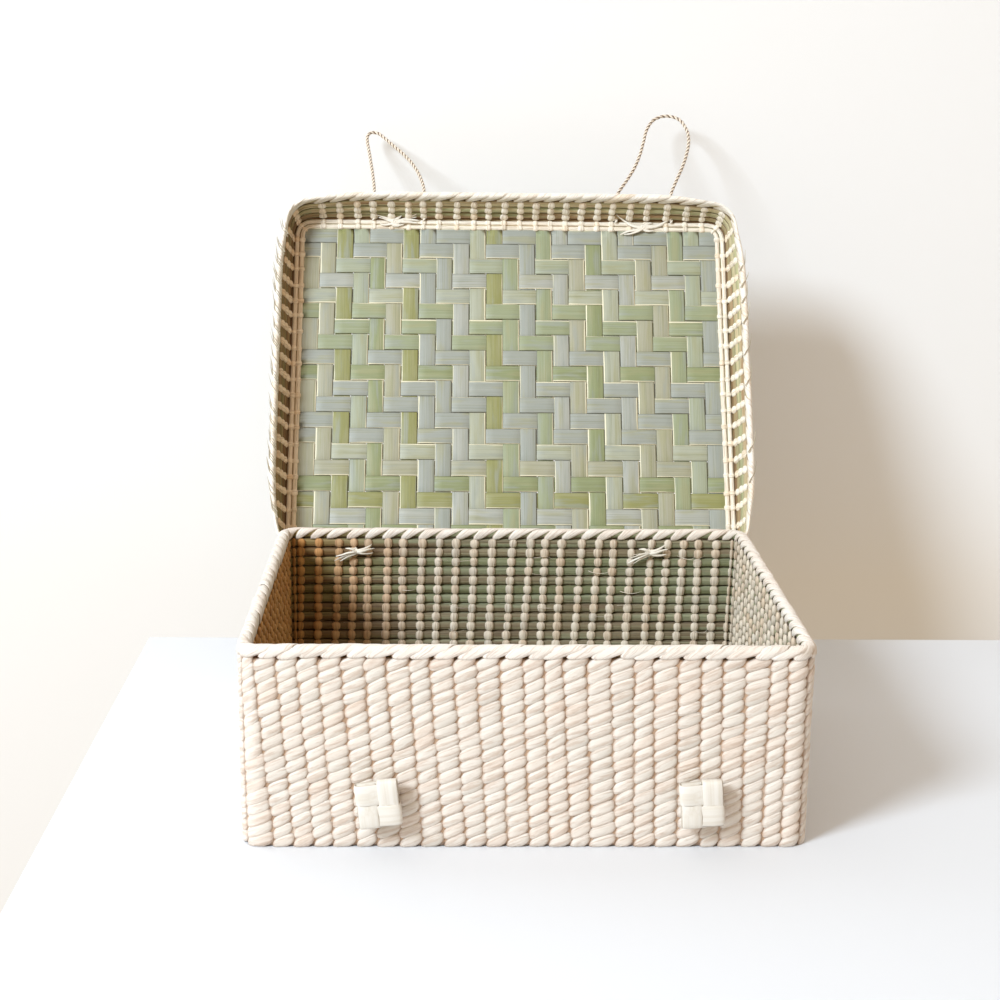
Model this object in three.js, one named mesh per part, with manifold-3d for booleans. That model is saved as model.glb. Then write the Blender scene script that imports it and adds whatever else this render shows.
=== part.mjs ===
// A hand-woven box of palm leaf with a deep tray lid, standing open.
// The walls are horizontal courses of leaf bound by columns of cream stitches. The lid is a
// plaited panel in a flared skirt. It swings on two cord hinges, and two cord loops on its
// front hook round two plaited buttons. Millimetres, +Z up, the front faces -Y, and the
// origin is the middle of the base's underside.
import * as THREE from "three";
import { mergeVertices } from "three/addons/utils/BufferGeometryUtils.js";
import Module from "manifold-3d";

const wasm = await Module();
wasm.setup();

// Driving dimensions of the body
const BODY_WIDTH = 340;
const BODY_DEPTH = 270;
const CORNER_RADIUS = 13;
const COURSES = 17;
const COURSE_PITCH = 7;
const COURSE_DIAMETER = 5.2;
const BODY_RIM_WIDTH = 8;
const BODY_RIM_HEIGHT = 7;
const RIM_ROUNDING = 0.45; // the bevel, as a share of a rim's smaller side
const BASE_THICKNESS = 3.5;

// Driving dimensions of the stitched skins
const FRONT_COLUMNS = 24;
const SIDE_COLUMNS = 19;
const LID_CORNER_COLUMNS = 3;
const STITCH_THICKNESS = 1.8;
const GROOVE_DEPTH = 0.7;

// Driving dimensions of the lid
const LID_CLEARANCE = 0.6;
const LID_FLARE = 5.3;
const LID_RIM_DIAMETER = 8;
const LID_COURSES = 3;
const LID_COURSE_THICKNESS = 3.6;
const LID_PANEL_THICKNESS = 2.6;
const EDGE_COURSE_BEVEL = 0.65;
const EDGE_COURSES = 2;
const EDGE_COURSE_WIDTH = 4;
const OPEN_DEGREES = 120;

// Driving dimensions of the cord hinges
const HINGE_COURSE = 15;
const HINGE_FROM_END = [55, 72];
const HINGE_CORD = 2.4;
const HINGE_RUNNING_GAP = 0.5;
const HINGE_TURNS = 2;
const STRAP_WIDTH = 4.4;
const STRAP_THICKNESS = 1.2;
const HINGE_KNOT_LENGTH = 26;

// Driving dimensions of the closing loops and buttons
const LOOP_CORD = 2.6;
const LOOP_FROM_END = [81.5, 64];
const LOOP_HALF_SPREAD = [20, 22];
const LOOP_LEAN_DEGREES = [31, 21];
const LOOP_TIE_INSET = 2;
const BUTTON_FROM_END = [83, 66.5];
const BUTTON_COURSE = 5;
const BUTTON_DROP = 3.5;
const BUTTON_WIDTH = 25;
const BUTTON_HEIGHT = 27;
const BUTTON_THICKNESS = 8;
const BUTTON_STANDOFF = 3.5;
const BUTTON_BEVEL = 2.4;
const SHANK_DIAMETER = 4;
const SHANK_ENTRY = 4.2;
const BUTTON_KNOT_LENGTH = 14;

// Knots, in cord diameters: how far the lump reaches each way, and each strand from the middle
const KNOT_ALONG = 1.7;
const KNOT_OUT = 0.8;
const KNOT_ACROSS = 1.4;
const KNOT_STRAND = 0.45;
const LOOP_KNOT_ALONG = 2.2;

// The clearance between two pieces that rest on each other
const GAP = 0.3;

// How finely round shapes are cut
const CORNER_STEPS = 2;
const CORD_SIDES = 8;
const HINGE_RING_SIDES = 6;
const HINGE_RING_STEPS = 16;
const NOTCH_SIDES = 24;
const LOOP_STEP = 2.2; // in cord diameters
const POINTS_PER_COLUMN = 3;

// The loops' routes from one end to the other: across in half spreads from the loop's middle,
// and out from its turning line in millimetres
const LOOP_ROUTES = [
  [
    [-1, 5], [-1.005, 12], [-1.035, 24], [-1.115, 40], [-1.215, 57], [-1.335, 76],
    [-1.435, 93], [-1.445, 102], [-1.315, 107.4], [-1.055, 105.6], [-0.755, 98.6],
    [-0.335, 86], [0.045, 74.6], [0.405, 61.6], [0.695, 46.6], [0.905, 30], [0.995, 14],
    [1, 5],
  ],
  [
    [-1, 5], [-0.982, 9], [-0.836, 17], [-0.545, 29], [-0.218, 44], [0.036, 60], [0.218, 76],
    [0.4, 92], [0.709, 104], [1.182, 108.6], [1.636, 104.6], [1.891, 92], [1.927, 78],
    [1.791, 62], [1.573, 46], [1.3, 30], [1.073, 16], [1.009, 9], [1, 5],
  ],
];

// Sizes that follow from the driving dimensions
const BODY_RIM_Z = COURSES * COURSE_PITCH;
const BODY_HEIGHT = BODY_RIM_Z + BODY_RIM_HEIGHT;
const CORE_X = BODY_WIDTH / 2 - CORNER_RADIUS;
const CORE_Y = BODY_DEPTH / 2 - CORNER_RADIUS;
const COURSE_INSET = STITCH_THICKNESS + GAP;
const WALL_THICKNESS = COURSE_INSET + COURSE_DIAMETER;
const LID_RIM_RADIUS = LID_RIM_DIAMETER / 2;
const LID_WALL = LID_COURSE_THICKNESS + GAP + STITCH_THICKNESS;
const LID_OVERHANG = LID_CLEARANCE + LID_WALL + LID_FLARE;
const LID_INNER_Z = BODY_HEIGHT + LOOP_CORD + 2 * GAP;
const LID_TOP_Z = LID_INNER_Z + LID_PANEL_THICKNESS;
const HINGE_Z = HINGE_COURSE * COURSE_PITCH;
const HINGE_Y = BODY_DEPTH / 2 + LID_OVERHANG - LID_RIM_RADIUS;
const SKIRT_Z = HINGE_Z + LID_RIM_RADIUS + GAP;
const LID_COURSE_HEIGHT = (LID_INNER_Z - SKIRT_Z) / LID_COURSES - GAP;
const RING_RADIUS = LID_RIM_RADIUS + HINGE_RUNNING_GAP + HINGE_CORD / 2;
const LOOP_Z = BODY_HEIGHT + GAP + LOOP_CORD / 2;
const LOOP_AXIS_Y = BODY_DEPTH / 2 + LID_OVERHANG + GAP + LOOP_CORD / 2;
const BUTTON_SHANK_Z = BUTTON_COURSE * COURSE_PITCH;
const fromEnds = ([left, right]) => [left - BODY_WIDTH / 2, BODY_WIDTH / 2 - right];
const HINGE_X = fromEnds(HINGE_FROM_END);
const LOOP_X = fromEnds(LOOP_FROM_END);
const BUTTON_X = fromEnds(BUTTON_FROM_END);
const SIDES = [
  { name: "front", turn: 0, span: 2 * CORE_X, core: CORE_Y, columns: FRONT_COLUMNS },
  { name: "right", turn: Math.PI / 2, span: 2 * CORE_Y, core: CORE_X, columns: SIDE_COLUMNS },
  { name: "back", turn: Math.PI, span: 2 * CORE_X, core: CORE_Y, columns: FRONT_COLUMNS },
  { name: "left", turn: -Math.PI / 2, span: 2 * CORE_Y, core: CORE_X, columns: SIDE_COLUMNS },
];
const CORNERS = [
  { name: "front_right", x: 1, y: -1, start: -Math.PI / 2 },
  { name: "back_right", x: 1, y: 1, start: 0 },
  { name: "back_left", x: -1, y: 1, start: Math.PI / 2 },
  { name: "front_left", x: -1, y: -1, start: Math.PI },
];

const material = (color, roughness = 0.8) =>
  new THREE.MeshStandardMaterial({ color, roughness, metalness: 0 });
const STITCH = material(0xefe6d6, 0.7);
const LEAF = material(0x7d8160, 0.6);
const PANEL = material(0x87907f, 0.6);
const RIM = material(0xf1e8d8, 0.65);
const CORD = material(0xe9dfcb, 0.75);

function mesh(name, geometry, finish) {
  const piece = new THREE.Mesh(geometry, finish);
  piece.name = name;
  return piece;
}

// Booleans: a closed three.js mesh becomes a solid, and a solid becomes a mesh again.
function solid(geometry) {
  const bare = geometry.clone();
  bare.deleteAttribute("normal");
  bare.deleteAttribute("uv");
  const merged = mergeVertices(bare, 1e-4);
  return new wasm.Manifold(new wasm.Mesh({
    numProp: 3,
    vertProperties: new Float32Array(merged.attributes.position.array),
    triVerts: new Uint32Array(merged.index.array),
  }));
}

function geometryOf(body) {
  const { vertProperties, triVerts } = body.getMesh();
  const geometry = new THREE.BufferGeometry();
  geometry.setAttribute("position", new THREE.BufferAttribute(vertProperties, 3));
  geometry.setIndex(new THREE.BufferAttribute(triVerts, 1));
  return geometry;
}

const joined = (parts) => geometryOf(parts.map(solid).reduce((all, one) => all.add(one)));
const cut = (geometry, tools) =>
  geometryOf(tools.map(solid).reduce((body, tool) => body.subtract(tool), solid(geometry)));

// Every outline is the body's outer outline, moved in by an inset or out by a negative one.
function outline(shape, inset) {
  const radius = CORNER_RADIUS - inset;
  shape.moveTo(CORE_X + radius, -CORE_Y);
  shape.absarc(CORE_X, CORE_Y, radius, 0, Math.PI / 2, false);
  shape.absarc(-CORE_X, CORE_Y, radius, Math.PI / 2, Math.PI, false);
  shape.absarc(-CORE_X, -CORE_Y, radius, Math.PI, 1.5 * Math.PI, false);
  shape.absarc(CORE_X, -CORE_Y, radius, 1.5 * Math.PI, 2 * Math.PI, false);
  return shape;
}

// A rounded ring course, its outer face at the inset, standing on z.
function ring(inset, width, height, z, bevel, rounding) {
  const shape = outline(new THREE.Shape(), inset + bevel);
  shape.holes.push(outline(new THREE.Path(), inset + width - bevel));
  const geometry = new THREE.ExtrudeGeometry(shape, {
    depth: height - 2 * bevel,
    bevelThickness: bevel,
    bevelSize: bevel,
    bevelSegments: rounding,
    curveSegments: CORNER_STEPS,
  });
  return geometry.translate(0, 0, z + bevel);
}

// A course of leaf has eight sides, and a wrapped rim twelve.
const course = (inset, width, height, z) =>
  ring(inset, width, height, z, width * (1 - Math.SQRT1_2), 1);
const wrappedRim = (inset, width, height, z) =>
  ring(inset, width, height, z, RIM_ROUNDING * Math.min(width, height), 3);

// A flat panel that fills the outline at an inset.
function slab(inset, thickness, z) {
  const shape = outline(new THREE.Shape(), inset);
  const geometry = new THREE.ExtrudeGeometry(shape, {
    depth: thickness, bevelEnabled: false, curveSegments: CORNER_STEPS,
  });
  return geometry.translate(0, 0, z);
}

// How far the outer face sinks at a point of a stitched skin: each column swells between grooves.
const sinkAt = (point) => (point % POINTS_PER_COLUMN === 0 ? GROOVE_DEPTH : 0);

// The stitched skin of one side, between two corner bands.
function sideSkin({ turn, span, core, columns }, radius, height, z) {
  const length = span - GAP;
  const inner = -(core + radius - STITCH_THICKNESS);
  const points = [new THREE.Vector2(length / 2, inner), new THREE.Vector2(-length / 2, inner)];
  const steps = columns * POINTS_PER_COLUMN;
  for (let step = 0; step <= steps; step += 1) {
    const outer = -(core + radius - sinkAt(step));
    points.push(new THREE.Vector2(-length / 2 + (length * step) / steps, outer));
  }
  const shape = new THREE.Shape(points);
  const geometry = new THREE.ExtrudeGeometry(shape, { depth: height, bevelEnabled: false });
  return geometry.rotateZ(turn).translate(0, 0, z);
}

// The stitched skin round one corner, a quarter ring.
function cornerSkin({ x, y, start }, radius, columns, height, z) {
  const trim = GAP / 2 / radius;
  const sweep = Math.PI / 2 - 2 * trim;
  const steps = columns * POINTS_PER_COLUMN;
  const at = (step, reach) => {
    const angle = start + trim + (sweep * step) / steps;
    return new THREE.Vector2(x * CORE_X + reach * Math.cos(angle), y * CORE_Y + reach * Math.sin(angle));
  };
  // The inner corners stand out a little, so that the flats between them clear the courses.
  const inner = (radius - STITCH_THICKNESS) / Math.cos(sweep / steps / 2);
  const points = [];
  for (let step = 0; step <= steps; step += 1) points.push(at(step, radius - sinkAt(step)));
  for (let step = steps; step >= 0; step -= 1) points.push(at(step, inner));
  const shape = new THREE.Shape(points);
  const geometry = new THREE.ExtrudeGeometry(shape, { depth: height, bevelEnabled: false });
  return geometry.translate(0, 0, z);
}

// The lid's skirt flares: its walls stand further out the lower they reach.
const flareAt = (z) => (LID_FLARE * (LID_TOP_Z - z)) / (LID_TOP_Z - SKIRT_Z);

function flared(geometry) {
  const place = geometry.attributes.position;
  for (let i = 0; i < place.count; i += 1) {
    const x = place.getX(i);
    const y = place.getY(i);
    const dx = x - THREE.MathUtils.clamp(x, -CORE_X, CORE_X);
    const dy = y - THREE.MathUtils.clamp(y, -CORE_Y, CORE_Y);
    const reach = Math.hypot(dx, dy);
    const out = flareAt(place.getZ(i)) / reach;
    place.setXY(i, x + dx * out, y + dy * out);
  }
  return geometry;
}

// Cord pieces
const cordX = (diameter, length, x, y, z) =>
  new THREE.CylinderGeometry(diameter / 2, diameter / 2, length, CORD_SIDES)
    .rotateZ(Math.PI / 2).translate(x, y, z);
const cordY = (diameter, from, to, x, z) =>
  new THREE.CylinderGeometry(diameter / 2, diameter / 2, Math.abs(to - from), CORD_SIDES)
    .translate(x, (from + to) / 2, z);
const block = (width, depth, height, x, y, z) =>
  new THREE.BoxGeometry(width, depth, height).translate(x, y, z);
const lump = (rx, ry, rz, x, y, z) =>
  new THREE.SphereGeometry(1, CORD_SIDES, CORD_SIDES - 2).scale(rx, ry, rz).translate(x, y, z);

// A knot that lies along a wall: two strands side by side with a lump where they cross.
function knot(diameter, length, x, y, z) {
  const apart = KNOT_STRAND * diameter;
  return [
    cordX(diameter, length, x + diameter / 2, y, z + apart),
    cordX(diameter, length, x - diameter / 2, y, z - apart),
    lump(KNOT_ALONG * diameter, KNOT_OUT * diameter, KNOT_ACROSS * diameter, x, y, z),
  ];
}

// The strap is the cord pressed flat, where it passes between two courses of the wall.
const strapWindow = (x, y, z) =>
  block(STRAP_WIDTH + 2 * GAP, 2 * COURSE_INSET, STRAP_THICKNESS + 2 * GAP, x, y, z);

// A hinge cord: turns round the lid's rim, through the back wall, and knotted inside the box.
function hingeCord(x) {
  const inside = BODY_DEPTH / 2 - WALL_THICKNESS - GAP - HINGE_CORD / 2;
  const reach = HINGE_Y - RING_RADIUS;
  const parts = [
    block(STRAP_WIDTH, reach - inside, STRAP_THICKNESS, x, (reach + inside) / 2, HINGE_Z),
    ...knot(HINGE_CORD, HINGE_KNOT_LENGTH, x, inside, HINGE_Z),
  ];
  const turnPitch = STRAP_WIDTH - HINGE_CORD;
  for (let turn = 0; turn < HINGE_TURNS; turn += 1) {
    const offset = turnPitch * (turn - (HINGE_TURNS - 1) / 2);
    parts.push(new THREE.TorusGeometry(RING_RADIUS, HINGE_CORD / 2, HINGE_RING_SIDES, HINGE_RING_STEPS)
      .rotateY(Math.PI / 2).translate(x + offset, HINGE_Y, HINGE_Z));
  }
  return joined(parts);
}

// The room that a hinge cord's turns need in the skirt as it swings round them.
const hingeNotch = (x) =>
  new THREE.CylinderGeometry(1, 1, STRAP_WIDTH + 2 * HINGE_RUNNING_GAP, NOTCH_SIDES)
    .scale(RING_RADIUS + HINGE_CORD / 2 + GAP, 1, RING_RADIUS + HINGE_CORD / 2 + GAP)
    .rotateZ(Math.PI / 2).translate(x, HINGE_Y, HINGE_Z);

// The body
function buildBody() {
  const body = new THREE.Group();
  const hingeWindows = HINGE_X.map((x) => strapWindow(x, BODY_DEPTH / 2, HINGE_Z));
  const buttonWindows = BUTTON_X.map((x) => strapWindow(x, -BODY_DEPTH / 2, BUTTON_SHANK_Z));
  const windows = { front: buttonWindows, back: hingeWindows };
  const skinHeight = BODY_RIM_Z - GAP;

  body.add(mesh("base_panel", slab(WALL_THICKNESS + GAP, BASE_THICKNESS, 0), PANEL));
  for (let index = 0; index < COURSES; index += 1) {
    const z = index * COURSE_PITCH + (COURSE_PITCH - COURSE_DIAMETER) / 2;
    const name = `wall_course_${String(index + 1).padStart(2, "0")}`;
    body.add(mesh(name, course(COURSE_INSET, COURSE_DIAMETER, COURSE_DIAMETER, z), LEAF));
  }
  for (const side of SIDES) {
    const skin = sideSkin(side, CORNER_RADIUS, skinHeight, 0);
    const tools = windows[side.name];
    body.add(mesh(`${side.name}_stitching`, tools ? cut(skin, tools) : skin, STITCH));
  }
  for (const corner of CORNERS) {
    const skin = cornerSkin(corner, CORNER_RADIUS, 1, skinHeight, 0);
    body.add(mesh(`${corner.name}_corner`, skin, STITCH));
  }
  body.add(mesh("body_rim", wrappedRim(0, BODY_RIM_WIDTH, BODY_RIM_HEIGHT, BODY_RIM_Z), RIM));
  HINGE_X.forEach((x, i) => body.add(mesh(`hinge_cord_${i ? "right" : "left"}`, hingeCord(x), CORD)));
  return body;
}

// The buttons: a plaited square on a cord shank, knotted inside the front wall.
function buttonTie(x) {
  const face = -BODY_DEPTH / 2;
  const inside = face + WALL_THICKNESS + GAP + HINGE_CORD / 2;
  const shankRoot = face - GAP;
  const shankEnd = face - BUTTON_STANDOFF - SHANK_ENTRY;
  return joined([
    block(STRAP_WIDTH, inside - shankRoot + GAP, STRAP_THICKNESS,
      x, (inside + shankRoot - GAP) / 2, BUTTON_SHANK_Z),
    cordY(SHANK_DIAMETER, shankRoot, shankEnd, x, BUTTON_SHANK_Z),
    ...knot(HINGE_CORD, BUTTON_KNOT_LENGTH, x, inside, BUTTON_SHANK_Z),
  ]);
}

function button(x) {
  const halfX = BUTTON_WIDTH / 2 - BUTTON_BEVEL;
  const halfZ = BUTTON_HEIGHT / 2 - BUTTON_BEVEL;
  const shape = new THREE.Shape();
  shape.moveTo(-halfX, -halfZ);
  shape.lineTo(halfX, -halfZ);
  shape.lineTo(halfX, halfZ);
  shape.lineTo(-halfX, halfZ);
  const back = -(BODY_DEPTH / 2 + BUTTON_STANDOFF);
  const square = new THREE.ExtrudeGeometry(shape, {
    depth: BUTTON_THICKNESS - 2 * BUTTON_BEVEL,
    bevelThickness: BUTTON_BEVEL,
    bevelSize: BUTTON_BEVEL,
    bevelSegments: 3,
  }).translate(0, 0, BUTTON_BEVEL).rotateX(Math.PI / 2)
    .translate(x, back, BUTTON_SHANK_Z - BUTTON_DROP);
  const bore = cordY(SHANK_DIAMETER + 2 * GAP, back + GAP, back - SHANK_ENTRY - GAP, x, BUTTON_SHANK_Z);
  return cut(square, [bore]);
}

function buildButtons() {
  const buttons = new THREE.Group();
  BUTTON_X.forEach((x, i) => {
    const side = i ? "right" : "left";
    buttons.add(mesh(`button_${side}`, button(x), CORD));
    buttons.add(mesh(`button_tie_${side}`, buttonTie(x), CORD));
  });
  return buttons;
}

// The lid, drawn closed over the body: the group below turns it open about its back rim.
// The holes that the loops' cord needs through the front of the skirt.
const loopEnds = (i) => [LOOP_X[i] - LOOP_HALF_SPREAD[i], LOOP_X[i] + LOOP_HALF_SPREAD[i]];
const loopHole = (x) => cordY(LOOP_CORD + 2 * GAP, -BODY_DEPTH / 2, -LOOP_AXIS_Y, x, LOOP_Z);

function lidCourse(index) {
  const z = SKIRT_Z + index * (LID_COURSE_HEIGHT + GAP);
  const inset = -(LID_CLEARANCE + LID_COURSE_THICKNESS);
  const geometry = flared(course(inset, LID_COURSE_THICKNESS, LID_COURSE_HEIGHT, z));
  if (index === 0) return cut(geometry, HINGE_X.map(hingeNotch));
  if (index === LID_COURSES - 1) return cut(geometry, [0, 1].flatMap(loopEnds).map(loopHole));
  return geometry;
}

function lidSkins() {
  const skins = new THREE.Group();
  const radius = CORNER_RADIUS + LID_CLEARANCE + LID_WALL;
  const height = LID_TOP_Z - SKIRT_Z;
  const tools = { front: [0, 1].flatMap(loopEnds).map(loopHole), back: HINGE_X.map(hingeNotch) };
  for (const side of SIDES) {
    const skin = flared(sideSkin(side, radius, height, SKIRT_Z));
    const holes = tools[side.name];
    skins.add(mesh(`lid_${side.name}_stitching`, holes ? cut(skin, holes) : skin, STITCH));
  }
  for (const corner of CORNERS) {
    const skin = flared(cornerSkin(corner, radius, LID_CORNER_COLUMNS, height, SKIRT_Z));
    skins.add(mesh(`lid_${corner.name}_corner`, skin, STITCH));
  }
  return skins;
}

// A loop's tie: its cord runs through the skirt at both ends and is knotted inside the lid.
function loopTie(i) {
  const [left, right] = loopEnds(i);
  const inside = -(BODY_DEPTH / 2 - LOOP_TIE_INSET);
  const radius = LOOP_CORD / 2;
  const parts = [
    cordX(LOOP_CORD, right - left + LOOP_CORD, LOOP_X[i], inside, LOOP_Z),
    lump(LOOP_KNOT_ALONG * LOOP_CORD, KNOT_OUT * LOOP_CORD, radius, LOOP_X[i], inside, LOOP_Z),
  ];
  for (const x of [left, right]) {
    parts.push(cordY(LOOP_CORD, inside, -LOOP_AXIS_Y, x, LOOP_Z));
    parts.push(lump(radius, radius, radius, x, -LOOP_AXIS_Y, LOOP_Z));
  }
  return joined(parts);
}

// A loop's free cord. Its ends stop just clear of the tie's round ends, about which it turns.
function loopCord(i) {
  const [left, right] = loopEnds(i);
  const start = LOOP_CORD / 2 + GAP;
  const route = LOOP_ROUTES[i].map(([across, out]) => [LOOP_X[i] + across * LOOP_HALF_SPREAD[i], out]);
  const stops = [[left, start], ...route, [right, start]];
  const path = new THREE.CatmullRomCurve3(stops.map(([across, out]) => new THREE.Vector3(across, out, 0)));
  const section = new THREE.Shape();
  for (let side = 0; side < CORD_SIDES; side += 1) {
    const angle = (2 * Math.PI * side) / CORD_SIDES;
    const point = [Math.cos(angle) * LOOP_CORD / 2, Math.sin(angle) * LOOP_CORD / 2];
    if (side === 0) section.moveTo(...point);
    else section.lineTo(...point);
  }
  const steps = Math.round(path.getLength() / (LOOP_STEP * LOOP_CORD));
  return new THREE.ExtrudeGeometry(section, { steps, extrudePath: path });
}

function buildLid() {
  const lid = new THREE.Group();
  let inset = -(LID_CLEARANCE + LID_COURSE_THICKNESS);
  for (let index = 0; index < EDGE_COURSES; index += 1) {
    // The outermost edge course also lies over the skirt's top course.
    const width = EDGE_COURSE_WIDTH + (index === 0 ? LID_COURSE_THICKNESS : 0);
    const edge = ring(inset, width, LID_PANEL_THICKNESS, LID_INNER_Z, EDGE_COURSE_BEVEL, 1);
    lid.add(mesh(`lid_edge_course_${EDGE_COURSES - index}`, edge, STITCH));
    inset += width + GAP;
  }
  lid.add(mesh("lid_panel", slab(inset, LID_PANEL_THICKNESS, LID_INNER_Z), PANEL));
  for (let index = 0; index < LID_COURSES; index += 1) {
    lid.add(mesh(`lid_course_${index + 1}`, lidCourse(index), LEAF));
  }
  lid.add(lidSkins());
  const rim = wrappedRim(-LID_OVERHANG, LID_RIM_DIAMETER, LID_RIM_DIAMETER, HINGE_Z - LID_RIM_RADIUS);
  lid.add(mesh("lid_rim", rim, RIM));
  LOOP_X.forEach((_, i) => {
    const side = i ? "right" : "left";
    lid.add(mesh(`loop_tie_${side}`, loopTie(i), CORD));
    const loop = mesh(`loop_${side}`, loopCord(i), CORD);
    loop.position.set(0, -LOOP_AXIS_Y, LOOP_Z);
    loop.rotation.x = Math.PI - THREE.MathUtils.degToRad(LOOP_LEAN_DEGREES[i]);
    lid.add(loop);
  });
  return lid;
}

const closedLid = buildLid();
closedLid.position.set(0, -HINGE_Y, -HINGE_Z);
const openLid = new THREE.Group();
openLid.add(closedLid);
openLid.position.set(0, HINGE_Y, HINGE_Z);
openLid.rotation.x = -THREE.MathUtils.degToRad(OPEN_DEGREES);

const box = new THREE.Group();
box.add(buildBody(), buildButtons(), openLid);

export default box;
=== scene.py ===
"""The looks of a hand-woven leaf box with a hinged, flared lid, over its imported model.

The walls are 17 courses of green leaf, bound by columns of cream stitches. Most of what is
seen repeats round the walls, so it is laid out on a flat plan and then led round them:
along the plan (x) is the way round the box, counterclockwise from above, starting at the
left end of the front; y is the way in from the wall's outer face, and z is the height.
"""

import math
import random
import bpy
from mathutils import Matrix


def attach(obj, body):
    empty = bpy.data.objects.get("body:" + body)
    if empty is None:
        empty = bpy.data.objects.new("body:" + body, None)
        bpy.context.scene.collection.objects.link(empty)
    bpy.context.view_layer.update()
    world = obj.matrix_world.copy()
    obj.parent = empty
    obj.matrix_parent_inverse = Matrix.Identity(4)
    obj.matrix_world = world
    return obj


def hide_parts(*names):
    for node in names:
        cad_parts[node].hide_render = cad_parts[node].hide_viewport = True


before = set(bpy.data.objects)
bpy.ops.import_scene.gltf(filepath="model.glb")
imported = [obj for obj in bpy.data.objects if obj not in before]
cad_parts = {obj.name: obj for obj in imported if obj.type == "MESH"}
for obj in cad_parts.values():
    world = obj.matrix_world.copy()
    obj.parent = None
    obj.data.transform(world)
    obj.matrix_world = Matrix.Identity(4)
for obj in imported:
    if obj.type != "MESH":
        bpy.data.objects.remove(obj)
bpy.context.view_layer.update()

import bmesh
import bpy
import numpy as np
from mathutils import Matrix, Vector

MM = 0.001
SIDES = ("left", "right")
WALLS = ("front", "right", "back", "left")
CORNERS = ("front_right", "back_right", "back_left", "front_left")
UP = Vector((0, 0, 1))

# Sizes of the body, in metres
BODY_WIDTH = 340 * MM
BODY_DEPTH = 270 * MM
CORNER_RADIUS = 13 * MM
COURSES = 17
COURSE_PITCH = 7 * MM
COURSE_GIRTH = 20 * MM
COLUMN_PITCH = 13.05 * MM
WALL = 7.3 * MM
WALL_HEIGHT = COURSES * COURSE_PITCH
RIM_IN = 4 * MM
RIM_Z = WALL_HEIGHT + 3.3 * MM
PANEL_PITCH = (13.05 * MM, 12.8 * MM)
PANEL_STRIPS = (25, 20)
HALF_STRIP = 6 * MM
BASE_PANEL_Z = 1.6 * MM

# Sizes of the lid, as it lies when shut
LID_TOP_Z = 131.8 * MM
LID_PANEL_Z = 130.4 * MM
LID_SKIRT_Z = 110 * MM
LID_COURSES = 3
LID_COURSE_HEIGHT = 6.4 * MM
LID_SLANT = 0.306
LID_RIM_OUT = 9.4 * MM
LID_RIM_Z = 105.4 * MM
# The share of the flare that is drawn in at a corner, and how far along the wall that reaches
LID_DRAW = 0.55
DRAWN_LENGTH = 30 * MM
PIVOT = Vector((0, 142.6 * MM, 105 * MM))
OPEN = math.radians(120)

# Places and sizes of the cords and buttons, left then right
HINGE_X = (-115 * MM, 98 * MM)
LOOP_X = (-88.5 * MM, 106 * MM)
LOOP_HALF = (20 * MM, 22 * MM)
LOOP_LEAN = (31, 21)
LOOP_CORD = 2.6 * MM
LOOP_Z = 127.6 * MM
LOOP_Y = 148.2 * MM
BUTTON_X = (-87 * MM, 103.5 * MM)
BUTTON_Y = -142.5 * MM
BUTTON_Z = 31.5 * MM
BUTTON_TILT = (-6, -4)
BUTTON_SIZE = (25 * MM, 8 * MM, 27 * MM)
BUTTON_TIE_Z = 35 * MM

# The straight parts of the outline, its bends, and the way all round it
FLAT = (BODY_WIDTH - 2 * CORNER_RADIUS, BODY_DEPTH - 2 * CORNER_RADIUS)
BEND = CORNER_RADIUS * math.pi / 2
ROUND = 2 * sum(FLAT) + 4 * BEND
LID_TURN = Matrix.Translation(PIVOT) @ Matrix.Rotation(-OPEN, 4, "X") @ Matrix.Translation(-PIVOT)

# The camera, solved from the box's corners in the photograph
CAMERA_PLACE = (-0.04364, -1.08938, 0.45120)
CAMERA_YAW, CAMERA_PITCH, CAMERA_ROLL = 0.027268, 0.243843, 0.011952
FOCUS_IN_PIXELS = 1735.97
PICTURE_WIDTH = 1000
SENSOR_WIDTH = 36

scene = bpy.context.scene
scene.view_settings.view_transform = "Standard"


def make_camera():
    level = math.cos(CAMERA_PITCH)
    ahead = Vector((math.sin(CAMERA_YAW) * level, math.cos(CAMERA_YAW) * level, -math.sin(CAMERA_PITCH)))
    right = Vector((math.cos(CAMERA_YAW), -math.sin(CAMERA_YAW), 0))
    up = right.cross(ahead)
    turned_right = right * math.cos(CAMERA_ROLL) + up * math.sin(CAMERA_ROLL)
    turned_up = up * math.cos(CAMERA_ROLL) - right * math.sin(CAMERA_ROLL)
    data = bpy.data.cameras.new("camera")
    data.sensor_fit = "HORIZONTAL"
    data.sensor_width = SENSOR_WIDTH
    data.lens = FOCUS_IN_PIXELS * SENSOR_WIDTH / PICTURE_WIDTH
    data.clip_start, data.clip_end = 0.05, 50
    camera = bpy.data.objects.new("camera", data)
    scene.collection.objects.link(camera)
    axes = Matrix((turned_right, turned_up, -ahead)).transposed().to_4x4()
    camera.matrix_world = Matrix.Translation(CAMERA_PLACE) @ axes
    scene.camera = camera


make_camera()


# Small tools for meshes
def colour(red, green, blue):
    """A colour as read from a screen, 0 to 255, made linear."""
    steps = [value / 255 for value in (red, green, blue)]
    return tuple(v / 12.92 if v <= 0.04045 else ((v + 0.055) / 1.055) ** 2.4 for v in steps) + (1,)


def squared(value, power):
    return math.copysign(abs(value) ** power, value)


def angles_round(count):
    return [2 * math.pi * j / count for j in range(count)]


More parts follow.
